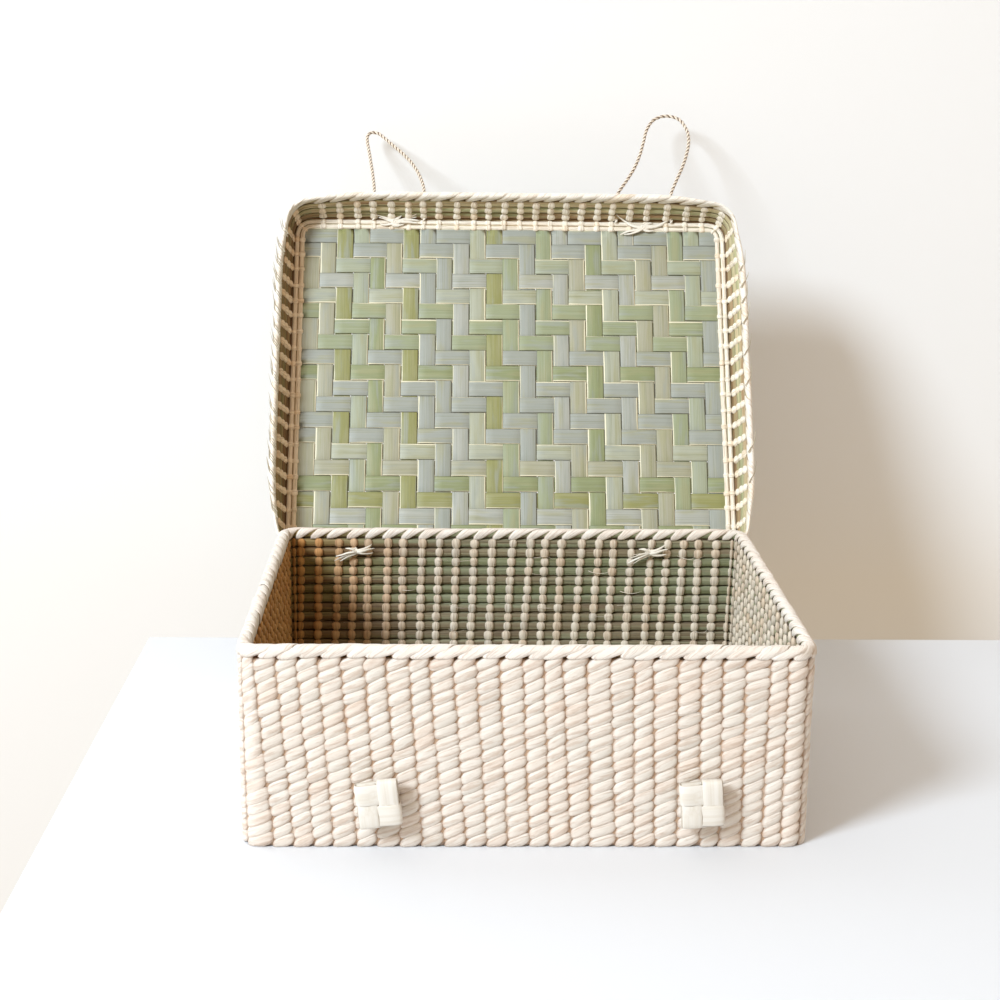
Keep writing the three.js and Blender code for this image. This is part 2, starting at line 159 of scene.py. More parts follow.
def new_piece(name, points, faces, places=None, values=None, material=None):
    """A mesh object at the origin, with the leaf's own flat places and per-point values."""
    data = bpy.data.meshes.new(name)
    data.from_pydata([tuple(point) for point in points], [], faces)
    if places is not None:
        layer = data.uv_layers.new(name="grain")
        for loop in data.loops:
            layer.data[loop.index].uv = places[loop.vertex_index]
    for key, numbers in (values or {}).items():
        kind, field = ("FLOAT_VECTOR", "vector") if np.ndim(numbers[0]) else ("FLOAT", "value")
        attribute = data.attributes.new(key, kind, "POINT")
        attribute.data.foreach_set(field, np.asarray(numbers, dtype=np.float32).ravel())
    data.polygons.foreach_set("use_smooth", [True] * len(data.polygons))
    if material is not None:
        data.materials.append(material)
    piece = bpy.data.objects.new(name, data)
    scene.collection.objects.link(piece)
    return piece


def tube(rings, places, creases, end_places=((0, 0), (0, 0)), end_creases=(0.5, 0.5), closed=False):
    """A skin over rings of the same length: its points, faces, flat places and creases.

    The ends are drawn shut, unless the last ring joins the first."""
    count = len(rings[0])
    points = [point for ring in rings for point in ring]
    faces = []
    for i in range(len(rings) if closed else len(rings) - 1):
        for j in range(count):
            k, after = (j + 1) % count, (i + 1) % len(rings)
            faces.append((i * count + j, i * count + k, after * count + k, after * count + j))
    if closed:
        return points, faces, places, creases
    for i, turned in ((0, True), (len(rings) - 1, False)):
        centre = len(points)
        points.append(sum((Vector(point) for point in rings[i]), Vector()) / count)
        for j in range(count):
            pair = (i * count + j, i * count + (j + 1) % count)
            faces.append((centre, *reversed(pair)) if turned else (centre, *pair))
    return points, faces, [*places, *end_places], [*creases, *end_creases]


def closed_piece(name, skin, material=None, tones=None):
    """A piece of closed skins, with all its faces turned outwards."""
    points, faces, places, creases = skin
    # The crease values mark where the materials lay painted shade
    values = {"crease": creases, "tone": tones} if tones else {"crease": creases}
    piece = new_piece(name, points, faces, places, values, material)
    shape = bmesh.new()
    shape.from_mesh(piece.data)
    bmesh.ops.recalc_face_normals(shape, faces=shape.faces)
    shape.to_mesh(piece.data)
    shape.free()
    return piece


def make_both(make):
    for i, name in enumerate(SIDES):
        make(i, name)


def settle(piece, body, slot, *nodes):
    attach(piece, body)
    if nodes:
        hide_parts(*nodes)


# Small tools for node trees
class Value:
    """An output in a node tree, that sums can be written with as with a plain number."""

    def __init__(self, tree, socket):
        self.tree, self.socket = tree, socket

    def __add__(self, other):
        return calc("ADD", self, other)

    def __radd__(self, other):
        return calc("ADD", other, self)

    def __sub__(self, other):
        return calc("SUBTRACT", self, other)

    def __rsub__(self, other):
        return calc("SUBTRACT", other, self)

    def __mul__(self, other):
        return calc("MULTIPLY", self, other)

    def __truediv__(self, other):
        return calc("DIVIDE", self, other)

    def __mod__(self, other):
        return calc("FLOORED_MODULO", self, other)

    def __pow__(self, other):
        return calc("POWER", self, other)

    def __abs__(self):
        return calc("ABSOLUTE", self)


def feed(socket, value):
    if isinstance(value, Value):
        value.tree.links.new(value.socket, socket)
    else:
        socket.default_value = value


def result(tree, kind, inputs=None, out=0, **settings):
    """A new node's output, or a list of them where out is a tuple."""
    made = tree.nodes.new(kind)
    for name, value in settings.items():
        setattr(made, name, value)
    for name, value in (inputs or {}).items():
        feed(made.inputs[name], value)
    if isinstance(out, tuple):
        return [Value(tree, made.outputs[name]) for name in out]
    return Value(tree, made.outputs[out])


def tree_of(values):
    return next(value.tree for value in values if isinstance(value, Value))


def calc(operation, *values, clamp=False):
    inputs = dict(enumerate(values))
    return result(tree_of(values), "ShaderNodeMath", inputs, operation=operation, use_clamp=clamp)


def calc3(operation, *values, out="Vector"):
    return result(tree_of(values), "ShaderNodeVectorMath", dict(enumerate(values)), out, operation=operation)


def scaled(vector, factor):
    return result(vector.tree, "ShaderNodeVectorMath", {"Scale": factor, 0: vector}, operation="SCALE")


def join(x=0.0, y=0.0, z=0.0):
    return result(tree_of((x, y, z)), "ShaderNodeCombineXYZ", {"X": x, "Y": y, "Z": z})


def split(vector):
    return result(vector.tree, "ShaderNodeSeparateXYZ", {0: vector}, ("X", "Y", "Z"))


def power_of(value, power):
    """A wave squared off or rounded, with its sign kept."""
    return calc("SIGN", value) * abs(value) ** power


def noise(place, scale, detail, out="Fac", **more):
    inputs = {"Vector": place, "Scale": scale, "Detail": detail, **more}
    return result(place.tree, "ShaderNodeTexNoise", inputs, out)


KINDS = {
    "geometry": "NodeSocketGeometry",
    "object": "NodeSocketObject",
    "material": "NodeSocketMaterial",
    "vector": "NodeSocketVector",
}


def new_tree(name, family, takes, gives):
    """A node tree with named inputs. A number gives its socket's kind and its own value."""
    tree = bpy.data.node_groups.new(name, family)
    for direction, entries in (("INPUT", takes), ("OUTPUT", gives)):
        for label, value in entries.items():
            kind = KINDS.get(value) or ("NodeSocketInt" if isinstance(value, int) else "NodeSocketFloat")
            socket = tree.interface.new_socket(name=label, in_out=direction, socket_type=kind)
            if not isinstance(value, str):
                socket.default_value = value
    sockets = tree.nodes.new("NodeGroupInput").outputs
    take = {label: Value(tree, sockets[label]) for label in takes}
    return tree, take, tree.nodes.new("NodeGroupOutput").inputs


def shape_tree(name, takes):
    geometry = {"Geometry": "geometry"}
    return new_tree(name, "GeometryNodeTree", {**geometry, **takes}, geometry)


def named(tree, name, kind="FLOAT_VECTOR"):
    return result(tree, "GeometryNodeInputNamedAttribute", {"Name": name}, data_type=kind)


def store(geometry, name, value, kind, domain):
    inputs = {"Geometry": geometry, "Name": name, "Value": value}
    return result(geometry.tree, "GeometryNodeStoreNamedAttribute", inputs, data_type=kind, domain=domain)


def moved(geometry, **where):
    return result(geometry.tree, "GeometryNodeSetPosition", {"Geometry": geometry, **where})


def chance(low, high, seed, step):
    """A random number for each point, from a fixed seed."""
    inputs = {2: low, 3: high, 8: seed + step}
    return result(seed.tree, "FunctionNodeRandomValue", inputs, 1, data_type="FLOAT")


def spread(amount, seed, step):
    """A random number between minus and plus an amount."""
    return chance(amount * -1.0, amount, seed, step)


def on_points(geometry, shape, seed, **how):
    """A copy of a shape on each point, made real, with a random tone and the point's own values."""
    tree = geometry.tree
    points = result(tree, "GeometryNodeMeshToPoints", {"Mesh": geometry})
    placed = result(tree, "GeometryNodeInstanceOnPoints", {"Points": points, "Instance": shape, **how})
    placed = store(placed, "tone", chance(0.0, 1.0, seed, 9), "FLOAT", "INSTANCE")
    return result(tree, "GeometryNodeRealizeInstances", {"Geometry": placed})


def grid(along, across):
    size = {"Size X": 1.0, "Size Y": 1.0, "Vertices X": along, "Vertices Y": across}
    sheet, places = result(along.tree, "GeometryNodeMeshGrid", size, ("Mesh", "UV Map"))
    return store(sheet, "grain", places, "FLOAT2", "CORNER")


def finished(geometry, material, weld=None):
    """The geometry with its doubles merged where asked, smooth and in its material."""
    tree = geometry.tree
    if weld:
        geometry = result(tree, "GeometryNodeMergeByDistance", {"Geometry": geometry, "Distance": weld})
    smooth = result(tree, "GeometryNodeSetShadeSmooth", {"Geometry": geometry})
    return result(tree, "GeometryNodeSetMaterial", {"Geometry": smooth, "Material": material})


# The outline of the walls that the plan is led round
def outline_points():
    """A point about every 4 mm along the straight parts, and every 9 degrees round the bends."""
    half_wide, half_deep = FLAT[0] / 2, FLAT[1] / 2
    bends = ((half_wide, -half_deep, -90), (half_wide, half_deep, 0),
             (-half_wide, half_deep, 90), (-half_wide, -half_deep, 180))
    points, before = [], Vector((-half_wide, -half_deep - CORNER_RADIUS))
    for x, y, start in bends:
        angles = [math.radians(start + 9 * i) for i in range(11)]
        bend = [Vector((x, y)) + CORNER_RADIUS * Vector((math.cos(a), math.sin(a))) for a in angles]
        steps = round((bend[0] - before).length / (4 * MM))
        points += [before.lerp(bend[0], i / steps) for i in range(steps)] + bend[:-1]
        before = bend[-1]
    return points


def make_outline():
    data = bpy.data.curves.new("outline", "CURVE")
    data.dimensions = "3D"
    points = outline_points()
    line = data.splines.new("POLY")
    line.points.add(len(points) - 1)
    for place, point in zip(line.points, points):
        place.co = (point.x, point.y, 0, 1)
    line.use_cyclic_u = True
    made = bpy.data.objects.new("outline", data)
    scene.collection.objects.link(made)
    return made


outline = make_outline()
FLARE = {"Slant": 0.0, "Slant Top": 0.0, "Corner Draw": 0.0}


def way_round_tree():
    """Leads a flat plan round the walls, leaning outwards below a height where asked."""
    tree, take, give = shape_tree("way round the walls", {"Outline": "object", **FLARE})
    line = result(tree, "GeometryNodeObjectInfo", {"Object": take["Outline"]}, "Geometry")
    whole = result(tree, "GeometryNodeCurveLength", {"Curve": line})
    x, y, z = split(result(tree, "GeometryNodeInputPosition"))
    sampled = {"Curves": line, "Length": (x / ROUND * whole) % whole}
    spot, ahead = result(tree, "GeometryNodeSampleCurve", sampled, ("Position", "Tangent"), mode="LENGTH")
    out = calc3("NORMALIZE", calc3("CROSS_PRODUCT", ahead, (0.0, 0.0, 1.0)))
    drop = calc("MAXIMUM", take["Slant Top"] - z, 0.0)
    reach = drop * take["Slant"] - y
    # A flare is drawn in at the corners, where the leaf is pulled tight.
    half_way = (x + BEND / 2) % (ROUND / 2)
    far = abs(half_way - (FLAT[0] + BEND))
    far = calc("MINIMUM", far, calc("MINIMUM", half_way, ROUND / 2 - half_way))
    close = calc("EXPONENT", (far / DRAWN_LENGTH) ** 2.0 * -1.0)
    kept = 1.0 - close * take["Corner Draw"]
    reach = calc("MAXIMUM", reach, 0.0) * kept + calc("MINIMUM", reach, 0.0)
    place = calc3("ADD", calc3("ADD", spot, scaled(out, reach)), join(z=z))
    feed(give["Geometry"], moved(take["Geometry"], Position=place))
    return tree


WAY_ROUND = way_round_tree()


def led_round(geometry, take):
    inputs = {"Geometry": geometry, **{name: take[name] for name in ("Outline", *FLARE)}}
    return result(geometry.tree, "GeometryNodeGroup", inputs, node_tree=WAY_ROUND)


def stitches_tree():
    """One stitch at each point of the plan, each a little different, led round the walls."""
    takes = {
        "Stitch": "object", "Outline": "object", "Material": "material", "Seed": 1, "Lowest": -1.0,
        "Size Spread": 0.06, "Turn Spread": 0.06, "Place Spread": 0.3 * MM,
    }
    tree, take, give = shape_tree("rows of stitches", {**takes, **FLARE})
    seed, loose = take["Seed"], take["Place Spread"]
    shift = join(spread(loose, seed, 1), spread(loose, seed, 2) * 0.5, spread(loose, seed, 3))
    stitch = result(tree, "GeometryNodeObjectInfo", {"Object": take["Stitch"]}, "Geometry")
    turn = join(y=spread(take["Turn Spread"], seed, 4))
    turned = result(tree, "FunctionNodeEulerToRotation", {0: turn})
    grown = join(*(1.0 + spread(take["Size Spread"], seed, 5 + i) for i in range(3)))
    size = calc3("MULTIPLY", named(tree, "stitch_size"), grown)
    real = on_points(moved(take["Geometry"], Offset=shift), stitch, seed, Rotation=turned, Scale=size)
    x, y, z = split(result(tree, "GeometryNodeInputPosition"))
    real = moved(real, Position=join(x, y, calc("MAXIMUM", z, take["Lowest"])))
    feed(give[0], finished(led_round(real, take), take["Material"]))
    return tree


def courses_tree():
    """A padded course of leaf round the whole box for each point of the plan."""
    takes = {
        "Outline": "object", "Material": "material", "Seed": 1, "Steps Round": 240, "Faces": 12,
        "Squareness": 0.6, "Wobble": 0.3 * MM,
    }
    tree, take, give = shape_tree("leaf courses", {**takes, **FLARE})
    sheet = grid(take["Steps Round"] + 1.0, take["Faces"] + 1.0)
    real = on_points(take["Geometry"], sheet, take["Seed"])
    u, v, _ = split(named(tree, "grain"))
    along, angle = u * ROUND, v * (-2 * math.pi)
    wide = power_of(calc("COSINE", angle), take["Squareness"])
    high = power_of(calc("SINE", angle), take["Squareness"])
    _, place_y, place_z = split(named(tree, "course_place"))
    _, size_y, size_z = split(named(tree, "course_size"))
    # The wobble dies away where the two ends of a course meet.
    fade = calc("MULTIPLY", calc("PINGPONG", u, 0.5), 60.0, clamp=True)
    uneven = noise(join(along * 26.0, place_z * 3000.0, place_y), 1.0, 2.0, "Color")
    uneven = calc3("SUBTRACT", uneven, (0.5, 0.5, 0.5))
    _, waver_y, waver_z = split(scaled(uneven, take["Wobble"] * 3.0 * fade))
    place = join(along, place_y + size_y * wide + waver_y, place_z + size_z * high + waver_z)
    shaped = store(moved(real, Position=place), "grain", join(along, v * COURSE_GIRTH), "FLOAT2", "CORNER")
    feed(give[0], finished(led_round(shaped, take), take["Material"], weld=0.004 * MM))
    return tree


def plait_tree():
    """Flat strips that run over two and under two, each row one cell further along."""
    takes = {
        "Material": "material", "Seed": 1, "Cells": 26, "Faces": 8, "Width": 12.9 * MM,
        "Width Spread": 1.0 * MM, "Thickness": 0.5 * MM, "Rise": 0.45 * MM, "Crispness": 8.0,
        "Pitch Across": PANEL_PITCH[0], "Pitch Down": PANEL_PITCH[1], "Start": 0.0, "Height": 0.0,
    }
    tree, take, give = shape_tree("plaited strips", takes)
    steps = take["Cells"] * 3.0
    real = on_points(take["Geometry"], grid(steps + 1.0, take["Faces"] + 1.0), take["Seed"])
    u, v, _ = split(named(tree, "grain"))
    run = named(tree, "strip_run")
    # Each cell has a point near its start, at its middle and near its end.
    step = calc("ROUND", u * steps)
    whole = calc("FLOOR", (step + 0.5) / 3.0)
    part = (step - whole * 3.0) * 0.44 + calc("MINIMUM", step, 1.0) * 0.06
    u = calc("DIVIDE", whole + part, named(tree, "strip_cells", "FLOAT"), clamp=True)
    side = calc3("CROSS_PRODUCT", (0.0, 0.0, 1.0), calc3("NORMALIZE", run))
    middle = calc3("ADD", named(tree, "strip_place"), scaled(run, u))
    x, y, _ = split(middle)
    cell = x / take["Pitch Across"] + y / take["Pitch Down"]
    wave = calc("SINE", (cell + take["Start"]) * (math.pi / 2)) * take["Crispness"]
    wave = calc("MAXIMUM", calc("MINIMUM", wave, 1.0), -1.0)
    lift = wave * named(tree, "strip_side", "FLOAT") * take["Rise"]
    angle = v * (-2 * math.pi)
    half = power_of(calc("COSINE", angle), 0.3)
    # Each strip is a little narrower than it could be, and lies a little aside.
    tone = named(tree, "tone", "FLOAT")
    narrower = calc("FRACT", tone * 71.3) * take["Width Spread"]
    aside = (calc("FRACT", tone * 37.7) - 0.5) * (take["Width Spread"] * 0.6)
    wide = half * ((take["Width"] - narrower) * 0.5) + aside
    ends = calc("MULTIPLY", calc("PINGPONG", u, 0.5), 1000.0, clamp=True)
    thick = power_of(calc("SINE", angle), 0.5) * take["Thickness"] * 0.5 * ends
    place = calc3("ADD", middle, scaled(side, wide))
    place = calc3("ADD", place, join(z=lift + thick + take["Height"]))
    flat = join(u * calc3("LENGTH", run, out="Value"), half)
    shaped = store(moved(real, Position=place), "grain", flat, "FLOAT2", "CORNER")
    feed(give[0], finished(shaped, take["Material"], weld=0.002 * MM))
    return tree


STITCHES = stitches_tree()
COURSES_ROUND = courses_tree()
PLAIT = plait_tree()


def make_woven(tree, name, points, values, body, slot, nodes=(), **inputs):
    """A plan of points run through a node tree, kept as a plain mesh and put on its body."""
    plan = new_piece(name + "_plan", points, [], values=values)
    modifier = plan.modifiers.new("shape", "NODES")
    modifier.node_group = tree
    labels = {item.name: item.identifier for item in tree.interface.items_tree if item.in_out == "INPUT"}
    for label, value in inputs.items():
        modifier[labels[label.replace("_", " ")]] = value
    plan.update_tag()
    graph = bpy.context.evaluated_depsgraph_get()
    whole = plan.evaluated_get(graph)
    data = bpy.data.meshes.new_from_object(whole, preserve_all_data_layers=True, depsgraph=graph)
    data.name = name
    bpy.data.objects.remove(plan)
    if body == "lid":
        data.transform(LID_TURN)
    piece = bpy.data.objects.new(name, data)
    scene.collection.objects.link(piece)
    settle(piece, body, slot, *nodes)


def make_courses(name, places, half_size, body, slot, nodes=(), **inputs):
    """Courses of leaf all the way round. Each place is how far in it lies and how high."""
    points = [(0, *place) for place in places]
    values = {"course_place": points, "course_size": [(0, *half_size)] * len(points)}
    make_woven(COURSES_ROUND, name, points, values, body, slot, nodes, Outline=outline, **inputs)


def make_stitches(name, points, sizes, body, slot="stitching", nodes=(), **inputs):
    """A stitch at each point, all of one size or each of its own."""
    sizes = sizes if isinstance(sizes, list) else [sizes] * len(points)
    values = {"stitch_size": sizes}
    make_woven(STITCHES, name, points, values, body, slot, nodes, Outline=outline, **inputs)


# Materials
def fibres_group():
    """Fine streaks along a leaf, from its own flat place and the tone of its strip."""
    takes = {"Place": "vector", "Tone": 0.0, "Lines": 900.0, "Stretch": 25.0}
    tree, take, give = new_tree("leaf fibres", "ShaderNodeTree", takes, {"Streak": 0.0, "Relief": 0.0})
    along, across, _ = split(take["Place"])
    look = join(along * take["Stretch"], across * take["Lines"], take["Tone"] * 91.0)
    broad = noise(look, 1.0, 4.0, Roughness=0.6)
    feed(give["Streak"], broad)
    feed(give["Relief"], broad + noise(look, 3.1, 2.0) * 0.5)
    return tree


FIBRES = fibres_group()


def fibres(place, tone, lines, stretch):
    inputs = {"Place": place, "Tone": tone, "Lines": lines, "Stretch": stretch}
    return result(place.tree, "ShaderNodeGroup", inputs, ("Streak", "Relief"), node_tree=FIBRES)


def new_material(name, roughness, sheen=0.0, specular=0.4):
    material = bpy.data.materials.new(name)
    material.use_nodes = True
    shader = material.node_tree.nodes["Principled BSDF"]
    shader.inputs["Roughness"].default_value = roughness
    shader.inputs["Specular IOR Level"].default_value = specular
    shader.inputs["Sheen Weight"].default_value = sheen
    return material, material.node_tree, shader


def attribute(tree, name):
    return result(tree, "ShaderNodeAttribute", out="Fac", attribute_name=name)


def flat_place(tree):
    return result(tree, "ShaderNodeUVMap", uv_map="grain")


def object_place(tree):
    return result(tree, "ShaderNodeTexCoord", out="Object")


def between(value, low, high, to_low=0.0, to_high=1.0):
    inputs = {"Value": value, "From Min": low, "From Max": high, "To Min": to_low, "To Max": to_high}
    return result(value.tree, "ShaderNodeMapRange", inputs, interpolation_type="SMOOTHSTEP")


def mixed(factor, one, two, blend="MIX"):
    inputs = {0: factor, 6: one, 7: two}
    settings = {"data_type": "RGBA", "blend_type": blend, "clamp_factor": True}
    return result(factor.tree, "ShaderNodeMix", inputs, 2, **settings)


def tinted(base, value, low, high, share, shade):
    """The base, with up to a share of a shade mixed in as a value goes from one mark to another."""
    return mixed(between(value, low, high, 0.0, share), base, colour(*shade))


def ramp(factor, stops, mode="LINEAR"):
    made = factor.tree.nodes.new("ShaderNodeValToRGB")
    feed(made.inputs["Fac"], factor)
    made.color_ramp.interpolation = mode
    steps = made.color_ramp.elements
    while len(steps) < len(stops):
        steps.new(1.0)
    for step, (place, shade) in zip(steps, stops):
        step.position = place
        step.color = colour(*shade)
    return Value(factor.tree, made.outputs["Color"])


def painted(material, base, relief, depth, strength):
    """The material, with its colour and its fine relief put in."""
    shader = material.node_tree.nodes["Principled BSDF"]
    feed(shader.inputs["Base Color"], base)
    inputs = {"Height": relief, "Distance": depth, "Strength": strength}
    feed(shader.inputs["Normal"], result(material.node_tree, "ShaderNodeBump", inputs))
    return material


# Painted shade on the left of the box and lid, where they lie in shadow: all of it left of the
# first place, none right of the second, then how much of the shade is laid over it, and the shade
LEFT_SHADE_BOX = (-0.165, -0.05, 1.0, (0.86, 0.58, 0.30, 1))
LEFT_SHADE_BEADS = (-0.165, -0.05, 1.0, (0.80, 0.47, 0.18, 1))
LEFT_SHADE_LID = (-0.178, -0.145, 0.36, (0.92, 0.60, 0.28, 1))
LEFT_SHADE_LID_COURSES = (-0.176, -0.155, 0.85, (0.44, 0.32, 0.19, 1))


def painted_shade_to_left(base, low, high, share, shade):
    # Painted shade: the colour is darkened and warmed towards the left, where the shadow falls
    x, _, _ = split(object_place(base.tree))
    return mixed(between(x, low, high, share, 0.0), base, shade, "MULTIPLY")


def stitch_material(name, light, warm, dull, crease, left_shade=None):
    """Cream leaf, wound as stitches: streaked along, with painted shade in the creases between them and,
    where asked, on the left.
    """
    material, tree, _ = new_material(name, 0.62, sheen=0.08, specular=0.3)
    tone = attribute(tree, "tone")
    streak, relief = fibres(flat_place(tree), tone, 800.0, 60.0)
    base = ramp(tone, ((0.0, dull), (0.22, light), (0.62, light), (0.8, warm), (1.0, light)))
    base = tinted(base, noise(object_place(tree), 22.0, 2.0), 0.5, 0.75, 0.5, warm)
    base = tinted(base, streak, 0.47, 0.64, 0.4, crease)
    base = tinted(base, streak, 0.45, 0.3, 0.35, (240, 232, 220))
    # Painted shade: darker where the crease value is high, at the sides and ends next to the neighbours
    base = tinted(base, attribute(tree, "crease"), 0.45, 1.0, 0.9, crease)
    # Painted shade on the left, where asked
    if left_shade:
        base = painted_shade_to_left(base, *left_shade)
    return painted(material, base, relief, 0.7 * MM, 0.8)


# The dark of the fibre streaks, also laid as painted shade in the creases between stitches
STREAK_AND_CREASE_SHADE = (174, 140, 112)
stitch_cream = stitch_material(
    "cream leaf stitches", light=(226, 217, 206), warm=(224, 209, 195), dull=(217, 209, 198), crease=STREAK_AND_CREASE_SHADE,
)
bead_cream = stitch_material(
    "cream leaf beads", light=(220, 207, 188), warm=(210, 189, 164), dull=(204, 194, 178),
    crease=(124, 92, 64), left_shade=LEFT_SHADE_BEADS,
)
# Cream leaf made paler than the box's beads: painted light on the lid's inner faces
lid_cream_painted_light = stitch_material(
    "pale lid leaf, with painted light", light=(250, 242, 226), warm=(244, 226, 200), dull=(238, 230, 212),
    crease=(150, 118, 84), left_shade=LEFT_SHADE_LID,
)
# The colour of a sheet that stands for painted shade in the seams between the wall's stitches
seam_shade = stitch_material(
    "painted shade in the seams", light=(186, 156, 130), warm=(178, 142, 112), dull=(180, 154, 130),
    crease=(150, 116, 88),
)
rim_cream = stitch_material(
    "white leaf wraps", light=(250, 244, 234), warm=(244, 230, 210), dull=(240, 232, 218),
    crease=(176, 146, 116),
)
body_rim_cream = stitch_material(
    "cream rim wraps", light=(236, 228, 218), warm=(234, 221, 208), dull=(228, 221, 211), crease=STREAK_AND_CREASE_SHADE,
)
# The colour of a sheet that stands for painted shade in the gaps of the lid's skirt
lid_gap_shade = stitch_material(
    "painted shade behind the lid skirt", light=(106, 88, 62), warm=(112, 86, 58), dull=(98, 86, 64), crease=(70, 54, 38),
)


def course_material(name, shades, left_shade):
    """Green leaf folded lengthwise into a course: long streaks, splits and dried edges."""
    material, tree, _ = new_material(name, 0.5, specular=0.4)
    tone, place = attribute(tree, "tone"), flat_place(tree)
    streak, relief = fibres(place, tone, 900.0, 6.0)
    along, across, _ = split(place)
    slow = noise(join(along * 9.0, across * 160.0, tone * 53.0), 1.0, 3.0)
    shade = calc("SUBTRACT", slow * 1.1 + tone * 0.55, 0.35, clamp=True)
    base = ramp(shade, list(zip((0.0, 0.25, 0.45, 0.62, 0.8, 1.0), shades)))
    base = tinted(base, streak, 0.5, 0.72, 0.75, (66, 58, 38))
    base = tinted(base, streak, 0.46, 0.28, 0.5, (186, 184, 150))
    # The outer face, half way round the course's girth, is dried.
    outer = between(abs(across - COURSE_GIRTH / 2), 3 * MM, 5 * MM, 1.0, 0.0)
    base = mixed(outer, base, colour(150, 118, 84))
    # Painted shade on the left, where the leaf lies in shadow
    base = painted_shade_to_left(base, *left_shade)
    return painted(material, base, relief, 0.7 * MM, 0.8)


leaf_green = course_material(
    "green leaf courses",
    ((104, 100, 66), (126, 130, 96), (142, 144, 116), (132, 120, 94), (116, 98, 76), (150, 152, 124)),
    LEFT_SHADE_BOX,
)
leaf_browned = course_material(
    "brown leaf courses",
    ((130, 115, 76), (168, 172, 128), (206, 190, 150), (164, 132, 96), (156, 155, 112), (195, 193, 155)),
    LEFT_SHADE_LID_COURSES,
)
STRIP_SHADES = (
    (0.0, (148, 156, 124)), (0.16, (168, 171, 152)), (0.32, (155, 159, 152)), (0.47, (142, 142, 88)),
    (0.58, (168, 170, 162)), (0.70, (138, 146, 106)), (0.82, (164, 162, 140)), (0.92, (160, 166, 144)),
)


def strip_material():
    """Flat leaf strips, each of one tone along its whole length, with cream edges and a painted shadow line.
    """
    material, tree, _ = new_material("plaited leaf strips", 0.46, specular=0.45)
    tone = attribute(tree, "tone")
    along, across, _ = split(flat_place(tree))
    streak, relief = fibres(join(along, across * HALF_STRIP), tone, 2400.0, 12.0)
    base = ramp(tone, STRIP_SHADES, "CONSTANT")
    slow = noise(join(along * 26.0, across * 1.1, tone * 71.0), 1.0, 3.0)
    base = tinted(base, slow, 0.5, 0.68, 0.5, (158, 156, 118))
    base = tinted(base, slow, 0.48, 0.32, 0.55, (150, 156, 150))
    base = tinted(base, streak, 0.5, 0.66, 0.5, (122, 126, 92))
    base = tinted(base, streak, 0.46, 0.32, 0.35, (184, 186, 168))
    # One edge of each strip is paler and wider than the other, which is darkened as a painted shadow line in
    # the gap beside it.
    side = calc("SIGN", calc("FRACT", tone * 23.7) - 0.5)
    edge = across * side + (slow - 0.5) * 0.3 + calc("FRACT", tone * 53.1) * 0.12
    base = tinted(base, edge, 0.93, 0.98, 0.95, (230, 224, 196))
    # Painted shadow along the other edge
    base = tinted(base, edge, -0.9, -0.97, 0.75, (92, 84, 58))
    return painted(material, base, relief, 0.25 * MM, 0.4)


leaf_strips = strip_material()


def cord_material(name, light, dark, crease, low=0.2, high=0.8):
    """Two-ply cord of twisted leaf: fine fibres that follow the turns."""
    material, tree, _ = new_material(name, 0.66, sheen=0.1, specular=0.25)
    streak, relief = fibres(flat_place(tree), 0.3, 2600.0, 160.0)
    base = tinted(colour(*light), streak, 0.35, 0.7, 1.0, dark)
    # Painted shade: darker in the grooves between the plies and along the edges of narrow leaf
    base = tinted(base, attribute(tree, "crease"), low, high, 1.0, crease)
    return painted(material, base, relief, 0.3 * MM, 0.8)


cord_leaf = cord_material("twisted leaf cord", (246, 236, 220), (224, 206, 182), (118, 96, 80), 0.12, 0.5)
browned_ends = cord_material("brown leaf ends", (198, 188, 166), (156, 144, 120), (126, 110, 88))
knot_leaf = cord_material("pale knotted leaf", (248, 244, 234), (226, 214, 194), (176, 148, 120))


def button_material():
    """Smooth ivory leaf, with faint ribs along each band and painted shade along the bands' edges."""
    material, tree, _ = new_material("ivory leaf bands", 0.5, specular=0.35)
    streak, relief = fibres(flat_place(tree), attribute(tree, "tone"), 320.0, 14.0)
    base = tinted(colour(228, 223, 214), streak, 0.35, 0.75, 1.0, (217, 209, 195))
    # Painted shade: darker along each band's edges, where the bands meet and fold
    base = tinted(base, attribute(tree, "crease"), 0.6, 1.0, 0.6, (184, 164, 136))
    return painted(material, base, relief, 0.2 * MM, 0.2)


ivory_leaf = button_material()


# The closing loops: free cords of twisted leaf, from tie to tie on the lid. Each stop is in
# half widths across and millimetres out
LOOP_ROUTES = (
    ((-1, 5), (-1.005, 12), (-1.035, 24), (-1.115, 40), (-1.215, 57), (-1.335, 76), (-1.44, 92),
     (-1.455, 100.4), (-1.335, 106.6), (-1.055, 106.2), (-0.755, 98.9), (-0.335, 86), (0.045, 74.6),
     (0.405, 61.6), (0.695, 46.6), (0.905, 30), (0.995, 14), (1, 5)),
    ((-1, 5), (-0.982, 9), (-0.836, 17), (-0.545, 29), (-0.218, 44), (0.036, 60), (0.218, 76),
     (0.4, 92), (0.709, 104), (1.182, 108.6), (1.636, 104.6), (1.891, 92), (1.927, 78), (1.791, 62),
     (1.573, 46), (1.3, 30), (1.073, 16), (1.009, 9), (1, 5)),
)
# How far out a loop's cord starts, in millimetres, and the tone of all cords
LOOP_ROOT = 1.6
CORD_TONE = 0.4


def blend(one, two, first, last, t):
    return one * ((last - t) / (last - first)) + two * ((t - first) / (last - first))


